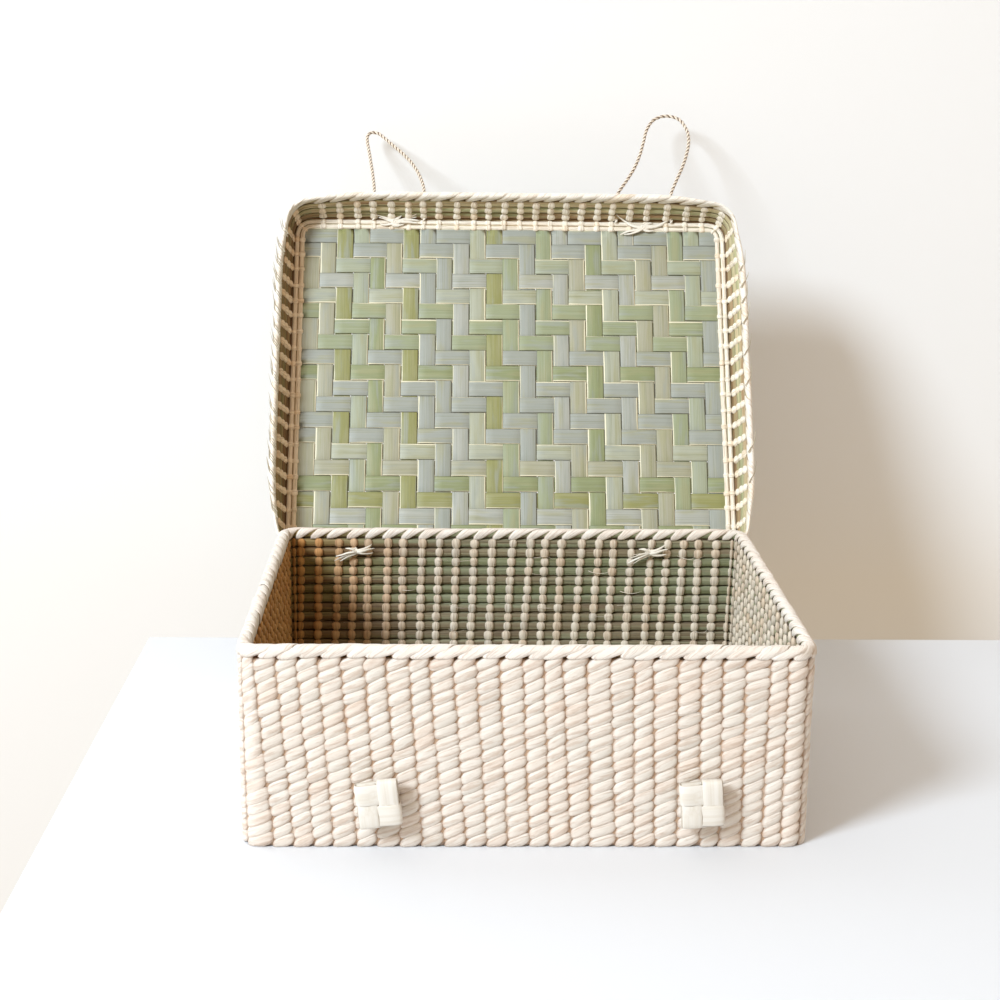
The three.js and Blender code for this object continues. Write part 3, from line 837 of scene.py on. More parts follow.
def smooth_route(stops, step):
    """Points every step along a rounded line through the stops."""
    stops = [Vector(stop) for stop in stops]
    stops = [2 * stops[0] - stops[1], *stops, 2 * stops[-1] - stops[-2]]
    dense = []
    for a, b, c, d in zip(stops, stops[1:], stops[2:], stops[3:]):
        knots = [0.0]
        for one, two in ((a, b), (b, c), (c, d)):
            knots.append(knots[-1] + max((two - one).length, 1e-9) ** 0.5)
        t0, t1, t2, t3 = knots
        for i in range(16):
            t = t1 + (t2 - t1) * i / 16
            ab, bc, cd = blend(a, b, t0, t1, t), blend(b, c, t1, t2, t), blend(c, d, t2, t3, t)
            dense.append(blend(blend(ab, bc, t0, t2, t), blend(bc, cd, t1, t3, t), t1, t2, t))
    dense.append(stops[-2])
    lengths = [0.0]
    for one, two in zip(dense, dense[1:]):
        lengths.append(lengths[-1] + (two - one).length)
    count = max(2, round(lengths[-1] / step))
    points, k = [], 0
    for i in range(count + 1):
        want = lengths[-1] * i / count
        while k < len(dense) - 2 and lengths[k + 1] < want:
            k += 1
        part = (want - lengths[k]) / max(lengths[k + 1] - lengths[k], 1e-12)
        points.append(dense[k].lerp(dense[k + 1], min(part, 1.0)))
    return points, lengths[-1]


def frames_along(points):
    """A pair of cross axes at each point, carried along with as little twist as can be."""
    side, pairs = None, []
    for i, _ in enumerate(points):
        ahead = (points[min(i + 1, len(points) - 1)] - points[max(i - 1, 0)]).normalized()
        if side is None:
            side = ahead.cross(UP)
            if side.length < 0.1:
                side = ahead.cross(Vector((1, 0, 0)))
        side = (side - ahead * side.dot(ahead)).normalized()
        pairs.append((side, ahead.cross(side)))
    return pairs


def cord_skin(route, diameter, turn=6 * MM, around=9, step=0.8 * MM, full=1.04, groove=0.3):
    """A two-ply twisted cord along a route: its skin, its middle line and its length."""
    points, length = smooth_route(route, step)
    rings, places, creases = [], [], []
    for i, (point, (side, up)) in enumerate(zip(points, frames_along(points))):
        done = length * i / (len(points) - 1)
        twist = 2 * math.pi * done / turn
        ring = []
        for j, angle in enumerate(angles_round(around)):
            lobe = abs(math.cos(angle)) ** 0.7
            reach = diameter / 2 * (full - groove * (1 - lobe))
            ring.append(point + (side * math.cos(angle + twist) + up * math.sin(angle + twist)) * reach)
            places.append((done, diameter * math.pi * j / around))
            creases.append(1 - lobe)
        rings.append(ring)
    return tube(rings, places, creases), points, length


def make_loop(i, name):
    lean = math.pi - math.radians(LOOP_LEAN[i])
    place = LID_TURN @ Matrix.Translation((0, -LOOP_Y, LOOP_Z)) @ Matrix.Rotation(lean, 4, "X")
    stops = [(-1, LOOP_ROOT), *LOOP_ROUTES[i], (1, LOOP_ROOT)]
    route = [place @ Vector((LOOP_X[i] + across * LOOP_HALF[i], out * MM, 0)) for across, out in stops]
    shape = {"turn": 9.4 * MM, "around": 12, "step": 0.45 * MM, "full": 1.1, "groove": 0.46}
    skin, points, length = cord_skin(route, LOOP_CORD, **shape)
    piece = closed_piece("loop_cord_" + name, skin, cord_leaf, [CORD_TONE] * len(skin[0]))
    settle(piece, "loop_" + name, "cord", "loop_" + name)
    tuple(route[0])
    [tuple(point) for point in points[::4] + points[-1:]]


make_both(make_loop)


# Columns of stitches round the walls, in millimetres from the middle. Those on the front and
# on the back's inner face stand where the photograph shows them; the rest are spaced evenly
FRONT_SEAMS_HIGH = (
    -159.9, -146.7, -134.6, -122.4, -109.1, -95.3, -83.1, -69.2, -57.6, -43.7, -30.4, -16.5, -3.1,
    9.1, 20.1, 34.1, 48.1, 62.1, 73.1, 87.7, 101.2, 114.0, 127.5, 142.1, 152.6,
)
FRONT_SEAMS_LOW = (
    -149.5, -137.6, -125.8, -113.9, -100.2, -87.8, -74.1, -61.6, -48.5, -35.4, -22.9, -10.4, 2.7,
    14.7, 27.2, 39.2, 54.1, 64.9, 77.5, 90.7, 104.5, 115.9, 129.1, 141.7, 153.1,
)
BACK_BEADS_HIGH = (
    -165.4, -154.6, -141.5, -127.0, -116.1, -106.0, -91.4, -80.6, -66.7, -54.4, -42.0, -28.9, -15.8,
    -1.2, 11.9, 22.8, 34.5, 49.1, 61.6, 72.5, 85.7, 100.3, 112.0, 123.7, 134.7, 147.9, 161.9,
)
BACK_BEADS_LOW = (
    -168.6, -156.2, -143.0, -129.8, -118.1, -107.1, -93.1, -81.4, -68.2, -56.4, -43.2, -30.7, -17.4,
    -4.2, 8.4, 20.9, 32.7, 46.0, 58.5, 70.4, 83.7, 97.7, 108.8, 121.4, 134.0, 146.6, 159.2,
)
LID_BEADS = (
    -148.2, -134.9, -120.8, -108.3, -94.2, -80.9, -69.2, -56.7, -42.6, -29.3, -17.5, -5.0,
    7.5, 20.0, 31.8, 43.5, 56.1, 68.6, 80.3, 94.4, 107.8, 123.4, 139.1, 152.4,
)
# The heights at which the high and the low places were read
SEAM_HEIGHTS = (115.6 * MM, 3 * MM)
BACK_BEAD_HEIGHTS = (107 * MM, 51 * MM)
# The seams round the front's two corners, high and low, and how far other columns lean
CORNER_SEAMS_HIGH = (-12.6 * MM, 322.4 * MM)
CORNER_SEAMS_LOW = (-10.4 * MM, 323 * MM)
COLUMN_LEAN = 6 * MM


def on_front(x):
    return x * MM + FLAT[0] / 2


def on_back(x):
    half = FLAT[0] / 2
    over = max(-half - 6 * MM, min(half + 6 * MM, x * MM))
    return FLAT[0] + FLAT[1] + 2 * BEND + half - over


def even_steps(first, last, seed):
    """Places about a column's pitch apart, each up to 0.9 mm uneven."""
    chooser = random.Random(seed)
    count = max(1, round((last - first) / COLUMN_PITCH))
    return [first + (last - first) * i / count + chooser.uniform(-1, 1) * (0.9 * MM) for i in range(1, count)]


def wall_seams():
    """Where each seam between columns stands, high and low on the walls."""
    high = [CORNER_SEAMS_HIGH[0], *(on_front(x) for x in FRONT_SEAMS_HIGH), CORNER_SEAMS_HIGH[1]]
    low = [CORNER_SEAMS_LOW[0], *(on_front(x) for x in FRONT_SEAMS_LOW), CORNER_SEAMS_LOW[1]]
    rest = even_steps(high[-1], high[0] + ROUND, 7)
    for place in rest:
        part = (place - high[-1]) / (ROUND - high[-1])
        low.append(place + COLUMN_LEAN * min(1.0, 8 * min(part, 1 - part)))
    return high + rest + [high[0] + ROUND], low + [low[0] + ROUND]


def lean_to(high, low, z, heights=SEAM_HEIGHTS):
    return low + (high - low) * (z - heights[1]) / (heights[0] - heights[1])


def wall_of(place):
    """The wall or corner that a place on the way round belongs to."""
    place %= ROUND
    for name, length in zip(WALLS, (*FLAT, *FLAT)):
        if place < length:
            return name
        place -= length
        if place < BEND:
            return "corner"
        place -= BEND
    return "corner"


SEAMS_HIGH, SEAMS_LOW = wall_seams()
COLUMNS = list(zip(SEAMS_HIGH, SEAMS_HIGH[1:]))
COURSE_MIDDLES = [(row + 0.5) * COURSE_PITCH for row in range(COURSES)]


# The stitches' own shapes. A grain and a bead are about one unit wide, deep and high
def grain_shape():
    """A puffy slanted stitch along x, low at its left end and high at its right."""
    count, around, rise = 9, 10, 0.64
    long, girth = 13 * MM, 16 * MM
    rings, places, creases = [], [], []
    for i in range(count):
        u = 0.5 * math.sin(math.pi * ((i + 0.5) / count - 0.5))
        full = (1 - abs(2 * u) ** 3.0) ** 0.5
        end = max(0.0, (abs(2 * u) - 0.7) / 0.3)
        ring = []
        for j, angle in enumerate(angles_round(around)):
            y = 0.5 * squared(math.sin(angle), 0.9) * full
            z = 0.5 * squared(math.cos(angle), 0.75) * full + rise * u
            ring.append(Vector((u, y, z)))
            places.append((u * long, j / around * girth))
            creases.append(max((1 + math.sin(angle)) / 2, 0.45 + 0.5 * end ** 1.5))
        rings.append(ring)
    skin = tube(rings, places, creases, ((-0.5 * long, 0), (0.5 * long, 0)), (0.9, 0.9))
    return closed_piece("grain_shape", skin)


def bead_shape(fullness=3.2, lying=False):
    """A stitch on a course's inner face: two strands side by side, rounded at the bottom."""
    count, around = 5, 10
    rings, places, creases = [], [], []
    for i in range(count):
        z = 0.5 * math.sin(math.pi * ((i + 0.5) / count - 0.5))
        full = (1 - abs(2 * z) ** fullness) ** 0.5
        wide = full * (0.96 + 0.16 * z)
        ring = []
        for j, angle in enumerate(angles_round(around)):
            inward = math.sin(angle)
            x = 0.5 * math.cos(angle) * wide
            groove = 1 - 0.48 * math.exp(-(x / 0.1) ** 2)
            y = 0.5 * inward * full * (groove if inward > 0 else 1)
            ring.append(Vector((x, z, -y)) if lying else Vector((x, y, z)))
            places.append((z * 7 * MM, j / around * 14 * MM))
            creases.append(max(1 - inward, (1 - groove) * 2.2 if inward > 0 else 1) * 0.6)
        rings.append(ring)
    skin = tube(rings, places, creases, ((-3.5 * MM, 0), (3.5 * MM, 0)), (0.8, 0.5))
    return closed_piece("bead_shape", skin)


WRAP_LINE = (
    (-1.02, -1.5), (-1.04, -0.9), (-1.02, -0.2), (-0.92, 0.5), (-0.5, 0.93), (0, 1.02), (0.5, 0.93),
    (0.92, 0.5), (1.02, -0.1), (1.04, -0.7), (1.0, -1.35),
)
WRAP_SECTION = ((-1, 0), (-0.82, 0.7), (-0.3, 1), (0.3, 1), (0.82, 0.7), (1, 0), (0.5, -0.8), (-0.5, -0.8))
WRAP_MARKS = (0, 0.1, 0.3, 0.5, 0.7, 0.85, 1)
WRAP_RINGS = 15
WRAP_LENGTH = 30 * MM


def wrap_shape(name, half_wide, half_high, middles, halves, heights):
    """A band that winds over a rim, from low on its outer face to low on its inner face."""
    line, _ = smooth_route([(0, y * half_wide, z * half_high) for y, z in WRAP_LINE], 0.1 * MM)
    rings, places, creases = [], [], []
    for i in range(WRAP_RINGS):
        t = i / (WRAP_RINGS - 1)
        k = round(t * (len(line) - 1))
        ahead = (line[min(k + 2, len(line) - 1)] - line[max(k - 2, 0)]).normalized()
        out = Vector((1, 0, 0)).cross(ahead)
        given = (middles, halves, heights)
        middle, half, thick = (float(np.interp(t, WRAP_MARKS, values)) * MM for values in given)
        top = math.exp(-(((t - 0.44) / 0.15) ** 2))
        ring = []
        for c, lift in WRAP_SECTION:
            if lift >= 0:
                lift = lift + (1 - lift) * 0.75 * top
            ring.append(line[k] + Vector((middle + c * half, 0, 0)) + out * lift * thick)
            places.append((t * WRAP_LENGTH, c * 6 * MM))
            creases.append((0.1 if lift > 0.9 else 0.4 if lift > 0.5 else 0.95) * (1 - 0.7 * top))
        rings.append(ring)
    return closed_piece(name, tube(rings, places, creases, ((0, 0), (WRAP_LENGTH, 0)), (0.8, 0.8)))


grain, bead, round_bead, flat_bead = grain_shape(), bead_shape(), bead_shape(2.3), bead_shape(lying=True)
flat_grain = bpy.data.objects.new("flat_grain_shape", grain.data.copy())
flat_grain.data.transform(Matrix.Rotation(-math.pi / 2, 4, "X"))
scene.collection.objects.link(flat_grain)
body_wrap = wrap_shape(
    "body_wrap_shape", 3.2 * MM, 2.75 * MM, middles=(-12.6, -11.6, -5.5, -1, 4, 7.5, 10),
    halves=(3.6, 6.9, 9.8, 7.8, 6.0, 4.8, 2.6), heights=(0.7, 1.5, 1.0, 0.8, 0.95, 0.95, 0.5),
)
lid_wrap = wrap_shape(
    "lid_wrap_shape", 1.6 * MM, 3.7 * MM, middles=(-12, -10, -6, -1, 4, 7.5, 10),
    halves=(5.8, 6.8, 7.2, 7.0, 6.4, 5.2, 2.8), heights=(0.5, 0.65, 0.8, 1.0, 1.0, 0.85, 0.4),
)
# The lid's rim hangs below the skirt, so its wraps are turned upside down.
lid_wrap.data.transform(Matrix.Rotation(math.pi, 4, "Y"))
BODY_WRAP_WIDTH = 13 * MM
LID_WRAP_WIDTH = 14.2 * MM
WALL_SEEDS = {"front": 16, "right": 16, "back": 15, "left": 15, "corner": 17}


# The walls: stitches outside, beads inside, and the courses between them
STITCH_IN = 2 * MM
STITCH_THICKNESS = 4 * MM
STITCH_OVERLAP = 1.08
STITCH_TALL, CORNER_STITCH_TALL = 1.3, 1.55


def outer_stitches():
    """Points and sizes of the stitches on the walls' outer face, wall by wall."""
    walls = {name: ([], []) for name in WALL_SEEDS}
    for z in COURSE_MIDDLES:
        for c, (high_left, high_right) in enumerate(COLUMNS):
            left, right = lean_to(high_left, SEAMS_LOW[c], z), lean_to(high_right, SEAMS_LOW[c + 1], z)
            wall = "corner" if c == 0 else wall_of((high_left + high_right) / 2)
            points, sizes = walls[wall]
            points.append(((left + right) / 2, STITCH_IN, z))
            tall = CORNER_STITCH_TALL if c == 0 else STITCH_TALL
            sizes.append(((right - left) * STITCH_OVERLAP, STITCH_THICKNESS, COURSE_PITCH * tall))
    return walls


def inner_beads():
    points = []
    back = (on_back(BACK_BEADS_HIGH[-1]) - 6 * MM, on_back(BACK_BEADS_HIGH[0]) + 6 * MM)
    for z in COURSE_MIDDLES:
        for high, low in zip(BACK_BEADS_HIGH, BACK_BEADS_LOW):
            points.append((lean_to(on_back(high), on_back(low), z, BACK_BEAD_HEIGHTS), WALL, z))
        for high, low in zip(SEAMS_HIGH[:-1], SEAMS_LOW[:-1]):
            if not back[0] < high < back[1]:
                points.append((lean_to(high, low, z), WALL, z))
    return points


for wall, (points, sizes) in outer_stitches().items():
    nodes = [corner + "_corner" for corner in CORNERS] if wall == "corner" else [wall + "_stitching"]
    make_stitches(
        wall + "_stitches", points, sizes, "basket", nodes=nodes, Stitch=grain, Material=stitch_cream,
        Seed=WALL_SEEDS[wall], Size_Spread=0.07, Turn_Spread=0.06, Place_Spread=0.35 * MM, Lowest=0.2 * MM,
    )
make_stitches(
    "inner_beads", inner_beads(), (6.5 * MM, 3.8 * MM, 7.6 * MM), "basket", Stitch=bead, Material=bead_cream,
    Seed=31, Size_Spread=0.1, Turn_Spread=0.07, Place_Spread=0.3 * MM, Lowest=0.2 * MM,
)
make_courses(
    "wall_courses", [(4.6 * MM, z) for z in COURSE_MIDDLES], (2.6 * MM, 3.2 * MM), "basket", "leaf_course",
    [f"wall_course_{row + 1:02d}" for row in range(COURSES)],
    Material=leaf_green, Seed=41, Wobble=0.3 * MM, Squareness=0.62,
)
# A thin brown sheet behind the stitches: painted shade, seen in the seams between them
make_courses(
    "wall_seam_backing", [(1.9 * MM, WALL_HEIGHT / 2)], (0.3 * MM, WALL_HEIGHT / 2 - 0.8 * MM), "basket",
    "stitching", Material=seam_shade, Seed=42, Wobble=0.02 * MM, Squareness=0.4,
)

# The body's rim: a green core and a wrap for each column
make_courses(
    "body_rim_core", [(RIM_IN, RIM_Z)], (3.3 * MM, 2.9 * MM), "basket", "wrapped_rim", ["body_rim"],
    Material=leaf_green, Seed=43, Wobble=0.1 * MM, Squareness=0.75,
)
make_stitches(
    "body_rim_wraps", [((a + b) / 2, RIM_IN, RIM_Z) for a, b in COLUMNS],
    [((b - a) / BODY_WRAP_WIDTH, 1, 1) for a, b in COLUMNS], "basket", "wrapped_rim",
    Stitch=body_wrap, Material=body_rim_cream, Seed=47, Size_Spread=0.05, Turn_Spread=0.02,
    Place_Spread=0.25 * MM,
)


# The plaited panels
def make_plait(name, body, node, **inputs):
    columns, rows = PANEL_STRIPS
    across, down = PANEL_PITCH
    wide, deep = columns * across, rows * down
    places = [((i + 0.5) * across - wide / 2, -deep / 2, 0) for i in range(columns)]
    places += [(-wide / 2, (j + 0.5) * down - deep / 2, 0) for j in range(rows)]
    values = {
        "strip_place": places,
        "strip_run": [(0, deep, 0)] * columns + [(wide, 0, 0)] * rows,
        "strip_side": [1.0] * columns + [-1.0] * rows,
        "strip_cells": [float(rows)] * columns + [float(columns)] * rows,
    }
    make_woven(PLAIT, name, places, values, body, "plaited_panel", [node], Material=leaf_strips, **inputs)


make_plait("lid_plait", "lid", "lid_panel", Height=LID_PANEL_Z, Seed=5, Start=2.0)
make_plait("base_plait", "basket", "base_panel", Height=BASE_PANEL_Z, Seed=8, Start=1.0)

# The lid's skirt: three courses, their stitches outside and their beads inside
LID_FIRST_SEAM = -11.4 * MM
LID_SEAMS = [LID_FIRST_SEAM, *(on_front(x) for x in LID_BEADS)]
LID_SEAMS += even_steps(LID_SEAMS[-1], LID_SEAMS[0] + ROUND, 17)
LID_COLUMNS = list(zip(LID_SEAMS, LID_SEAMS[1:] + [LID_SEAMS[0] + ROUND]))
LID_MIDDLES = [(a + b) / 2 for a, b in LID_COLUMNS]
LID_WIDTHS = [max(LID_WRAP_WIDTH, (b - a) * 1.12) for a, b in LID_COLUMNS]
LID_ROWS = [LID_SKIRT_Z + (row + 0.5) * LID_COURSE_HEIGHT for row in range(LID_COURSES)]
ON_SKIRT = {"Slant": LID_SLANT, "Slant_Top": LID_TOP_Z, "Corner_Draw": LID_DRAW}
CLEAR_OF_HINGE = 7.4 * MM

make_courses(
    "lid_courses", [(-(1.7 * MM), z) for z in LID_ROWS], (1.8 * MM, 2.6 * MM), "lid", "leaf_course",
    [f"lid_course_{row + 1}" for row in range(LID_COURSES)],
    Material=leaf_browned, Seed=51, Wobble=0.3 * MM, Squareness=1.0, **ON_SKIRT,
)
# A dark sheet between the lid's courses and stitches: painted shade, seen in the gaps between them
make_courses(
    "lid_skirt_backing", [(-2.9 * MM, 119.4 * MM)], (0.35 * MM, 12.2 * MM), "lid", "leaf_course",
    Material=lid_gap_shade, Seed=52, Wobble=0.02 * MM, Squareness=0.4, **ON_SKIRT,
)
make_stitches(
    "lid_stitches",
    [(place + (1 - row) * 1.0 * MM, -3.8 * MM, z) for row, z in enumerate(LID_ROWS) for place in LID_MIDDLES],
    [(wide, 2.6 * MM, 7.8 * MM) for wide in LID_WIDTHS] * LID_COURSES, "lid",
    nodes=[f"lid_{wall}_stitching" for wall in WALLS] + [f"lid_{corner}_corner" for corner in CORNERS],
    Stitch=grain, Material=stitch_cream, Seed=53, Size_Spread=0.07, **ON_SKIRT,
)
at_hinge = [on_back(x / MM) for x in HINGE_X]
make_stitches(
    "lid_beads",
    [
        (place, -0.5 * MM, z) for row, z in enumerate(LID_ROWS) for place in LID_SEAMS
        if row or min(abs(place - hinge) for hinge in at_hinge) > CLEAR_OF_HINGE
    ],
    (6.8 * MM, 3.9 * MM, 6.6 * MM), "lid",
    Stitch=round_bead, Material=lid_cream_painted_light, Seed=57, Size_Spread=0.1, **ON_SKIRT,
)

# The lid's rim
make_courses(
    "lid_rim_core", [(-LID_RIM_OUT, LID_RIM_Z)], (1.7 * MM, 3.7 * MM), "lid", "wrapped_rim", ["lid_rim"],
    Material=leaf_browned, Seed=61, Wobble=0.1 * MM, Squareness=0.9, Corner_Draw=LID_DRAW,
)
make_stitches(
    "lid_rim_wraps", [(place, -LID_RIM_OUT, LID_RIM_Z) for place in LID_MIDDLES],
    [(wide / LID_WRAP_WIDTH, 1, 1) for wide in LID_WIDTHS], "lid", "wrapped_rim",
    Stitch=lid_wrap, Material=rim_cream, Seed=63, Size_Spread=0.05, Turn_Spread=0.02,
    Place_Spread=0.25 * MM, Corner_Draw=LID_DRAW,
)

# The two cream edge courses between the panel and the skirt, with a browned one behind them
EDGE_IN = (1.6 * MM, 5.8 * MM)
EDGE_Z = 130.2 * MM
EDGE_BEAD_Z = 129.9 * MM
EDGE_BACKING_Z = 130.9 * MM
TOP_STITCH_IN = (-0.9 * MM, 4.9 * MM)
TOP_STITCH_Z = 131.5 * MM
make_courses(
    "lid_edge_courses", [(y, EDGE_Z) for y in EDGE_IN], (1.75 * MM, 1.4 * MM), "lid", "stitching",
    ["lid_edge_course_1", "lid_edge_course_2"],
    Material=lid_cream_painted_light, Seed=67, Wobble=0.15 * MM, Squareness=0.9,
)
make_courses(
    "lid_edge_backing", [(1.9 * MM, EDGE_BACKING_Z)], (6.2 * MM, 0.5 * MM), "lid", "leaf_course",
    Material=leaf_browned, Seed=68, Wobble=0.02 * MM, Squareness=0.5,
)
make_stitches(
    "lid_top_stitches", [(place, y, TOP_STITCH_Z) for y in TOP_STITCH_IN for place in LID_MIDDLES],
    [(wide, 7.8 * MM, 1.9 * MM) for wide in LID_WIDTHS] * len(TOP_STITCH_IN), "lid",
    Stitch=flat_grain, Material=stitch_cream, Seed=71, Size_Spread=0.06, Turn_Spread=0.0,
    Place_Spread=0.15 * MM,
)
make_stitches(
    "lid_edge_beads", [(place, y, EDGE_BEAD_Z) for y in EDGE_IN for place in LID_SEAMS],
    (5.6 * MM, 4.9 * MM, 4.0 * MM), "lid",
    Stitch=flat_bead, Material=lid_cream_painted_light, Seed=69, Size_Spread=0.14,
)


# Knots, ties, tips and bands, of narrow leaf and cord
STRAND_SECTION = ((-1, 0), (-0.5, 0.9), (0.5, 0.9), (1, 0), (0.5, -0.9), (-0.5, -0.9))


class Bundle:
    """Skins gathered into one mesh."""

    def __init__(self):
        self.points, self.faces, self.places, self.creases, self.tones = [], [], [], [], []

    def add(self, skin, tone):
        points, faces, places, creases = skin
        start = len(self.points)
        self.points += points
        self.faces += [tuple(start + k for k in face) for face in faces]
        self.places += places
        self.creases += creases
        self.tones += [tone] * len(points)

    def cord(self, route, diameter):
        self.add(cord_skin(route, diameter)[0], CORD_TONE)

    def coil(self, centre, axis, radius, turns, diameter, pitch, flat=1.0):
        """Cord wound round an axis, and pressed flat in height where asked."""
        axis = Vector(axis).normalized()
        one = axis.cross(UP).normalized()
        two = axis.cross(one)
        route = []
        for i in range(int(turns * 14) + 1):
            angle = 2 * math.pi * i / 14
            off = axis * pitch * (i / 14 - turns / 2)
            off += (one * math.cos(angle) + two * math.sin(angle)) * radius
            route.append(Vector(centre) + Vector((off.x, off.y, off.z * flat)))
        self.cord(route, diameter)

    def strand(self, route, wide, thick, tone, seed, tip=0.25, loose=1.0):
        """A flat length of leaf that narrows to its tip. Where it isn't loose it lies level."""
        points, length = smooth_route(route, 0.9 * MM)
        chooser = random.Random(seed)
        twist, phase = chooser.uniform(-1.2, 1.2) * loose, chooser.uniform(0, 3) * loose
        rings, places, creases = [], [], []
        for i, (point, (side, up)) in enumerate(zip(points, frames_along(points))):
            t = i / (len(points) - 1)
            turned = phase + twist * t
            one = side * math.cos(turned) + up * math.sin(turned)
            two = up * math.cos(turned) - side * math.sin(turned)
            size = 1 - (1 - tip) * t ** 2
            rings.append([
                point + one * c * wide / 2 * size + two * d * thick / 2 * size for c, d in STRAND_SECTION
            ])
            places += [(length * t, c * wide / 2) for c, _ in STRAND_SECTION]
            creases += [0.5 if abs(c) == 1 else 0.1 for c, _ in STRAND_SECTION]
        self.add(tube(rings, places, creases), tone)

    def tails(self, routes, place_of, wide, thick, seed, loose=1.0):
        """A knot's loose ends, each of its own tone."""
        for k, route in enumerate(routes):
            points = [place_of(*place) for place in route]
            self.strand(points, wide * MM, thick * MM, 0.2 + 0.13 * (k % 5), seed + k, loose=loose)

    def settle(self, name, material, body, slot, *nodes):
        skin = (self.points, self.faces, self.places, self.creases)
        if body == "lid":
            skin = ([LID_TURN @ Vector(point) for point in self.points], *skin[1:])
        settle(closed_piece(name, skin, material, self.tones), body, slot, *nodes)


# Buttons: two bands down and two across, plaited round a flat square
BAND_SECTION = ((-1, 0), (-0.86, 0.8), (-0.4, 1), (0.4, 1), (0.86, 0.8), (1, 0), (0.6, -1), (-0.6, -1))
BAND_STEPS = 44
BAND_THICKNESS = 1.3 * MM
BAND_RUN = 0.07


def band_skin(upright, part, turn):
    """One closed band, which passes over one of the bands that cross it and under the other."""
    wide, deep, high = BUTTON_SIZE
    breadth = wide if upright else high
    long_side = (high if upright else wide) / 2 - 0.5 * MM
    shift, width = part * breadth / 4, breadth / 2 - 0.15 * MM
    askew = part * (1.1 * MM if upright else -0.5 * MM)
    over_front = 1 if (part > 0) == upright else -1
    across = Vector((1, 0, 0)) if upright else UP
    rings, places, creases = [], [], []
    for i in range(BAND_STEPS):
        t = i / BAND_STEPS
        angle = 2 * math.pi * t
        run = long_side * squared(math.sin(angle), 0.42)
        front = squared(math.cos(angle), 0.42)
        # Half of the band stands forward of the bands that cross it, and the other half behind them.
        lift = 0.55 * MM * math.tanh(run / (1.6 * MM)) * over_front
        depth = -front * (deep / 2 - 1.25 * MM) - lift * abs(front)
        if upright:
            middle, out = Vector((shift, depth, run + askew)), Vector((0, -math.cos(angle), math.sin(angle)))
        else:
            middle, out = Vector((run + askew, depth, shift)), Vector((math.sin(angle), -math.cos(angle), 0))
        rings.append([
            turn @ (middle + across * c * width / 2 + out * lift_of * BAND_THICKNESS / 2)
            for c, lift_of in BAND_SECTION
        ])
        places += [(t * BAND_RUN, c * width / 2) for c, _ in BAND_SECTION]
        creases += [1.0 if abs(c) > 0.95 else 0.2 for c, _ in BAND_SECTION]
    return tube(rings, places, creases, closed=True)


def make_button(i, name):
    tilt = Matrix.Rotation(math.radians(BUTTON_TILT[i]), 4, "Y")
    turn = Matrix.Translation((BUTTON_X[i], BUTTON_Y, BUTTON_Z)) @ tilt
    bundle = Bundle()
    for upright in (True, False):
        for part in (-1, 1):
            bundle.add(band_skin(upright, part, turn), 0.2 + 0.3 * (part > 0) + 0.4 * upright)
    bundle.settle("plaited_button_" + name, ivory_leaf, "button_" + name, "button", "button_" + name)


make_both(make_button)

# The tails of the knots, in millimetres: across, up and out
HINGE_TAILS = (
    ((3, 1, 1.5), (-4, -1.5, 2.6), (-10, -4.2, 2.2), (-15, -6.8, 1.5)),
    ((2, 0, 1.8), (-5, -0.5, 3.0), (-10, -2.2, 2.8), (-14, -3.4, 2)),
    ((2, -1, 1.2), (-6, -4.0, 2.0), (-11, -7.2, 1.4)),
    ((-2, -1, 1.8), (5, 0.5, 3.0), (10, 2.0, 2.4), (14, 2.6, 1.5)),
    ((-2, 0, 1.5), (5, 1.8, 2.4), (9, 3.6, 2.2), (12, 5.4, 1.6)),
    ((-1, 1, 1.5), (4, -1, 2.6), (9, -1.4, 2.0), (13, -0.8, 1.2)),
    ((1, 0, 2.2), (-3, 2.5, 2.8), (-7, 2.6, 1.8)),
)
LOOP_TAILS = (
    (
        ((3, -1, 1.6), (-4, 1.5, 2.6), (-10, 4.2, 2.0), (-14.5, 6.2, 0.5)),
        ((2, -1.5, 1.8), (-4, 0.2, 3.0), (-9, 2.4, 2.6), (-13, 3.4, 1.6)),
        ((3, -2, 1.2), (-3, -2.4, 2.4), (-8, -3.2, 2.0), (-12, -2.2, 1.0)),
        ((-3, -2, 1.4), (4, -0.5, 2.8), (10, 3.4, 2.2), (17, 7.2, 0.5)),
        ((-2, -1, 2.0), (5, 0.8, 3.4), (11, 3, 2.8), (17, 4.2, 1.5)),
        ((-2, 0, 1.4), (6, -0.4, 2.6), (12, -0.6, 2.2), (18, -1.4, 1.0)),
        ((-1, -2, 1.2), (7, 1.2, 1.8), (13, 1.4, 1.8), (19, 1.0, 0.8)),
        ((-2, -3, 1.6), (2, -3.6, 2.6), (7, -2.6, 2.0)),
        ((0, 1, 1.6), (3, 3.4, 2.4), (5, 5.4, 1.4)),
    ),
    (
        ((3, -3, 1.6), (-5, -2.6, 2.4), (-13, 0.5, 1.6), (-19, 5.5, 0.4), (-22, 9, -0.6)),
        ((4, -3.6, 2.0), (-4, -3.4, 3.0), (-12, -0.8, 2.2), (-17.5, 3.4, 1.0)),
        ((2, -3, 1.6), (-6, -5.4, 2.2), (-13, -6.8, 1.6), (-19, -9.6, 0.8)),
        ((1, -3, 1.8), (-5, -6.6, 2.4), (-11, -8.8, 1.8), (-16, -9.4, 1.0)),
        ((-3, -3, 1.6), (5, -3.4, 2.6), (13, -1.2, 1.8), (19, 2.8, 0.6), (22, 5.4, -0.4)),
        ((-2, -2, 1.6), (6, -2.2, 2.8), (14, 0, 2.0), (20, 4, 0.8)),
        ((-2, -4, 1.8), (3, -6.2, 2.6), (8, -6, 1.6)),
        ((0, -2, 1.6), (3, 0, 2.6), (7, 0.6, 1.6)),
    ),
)
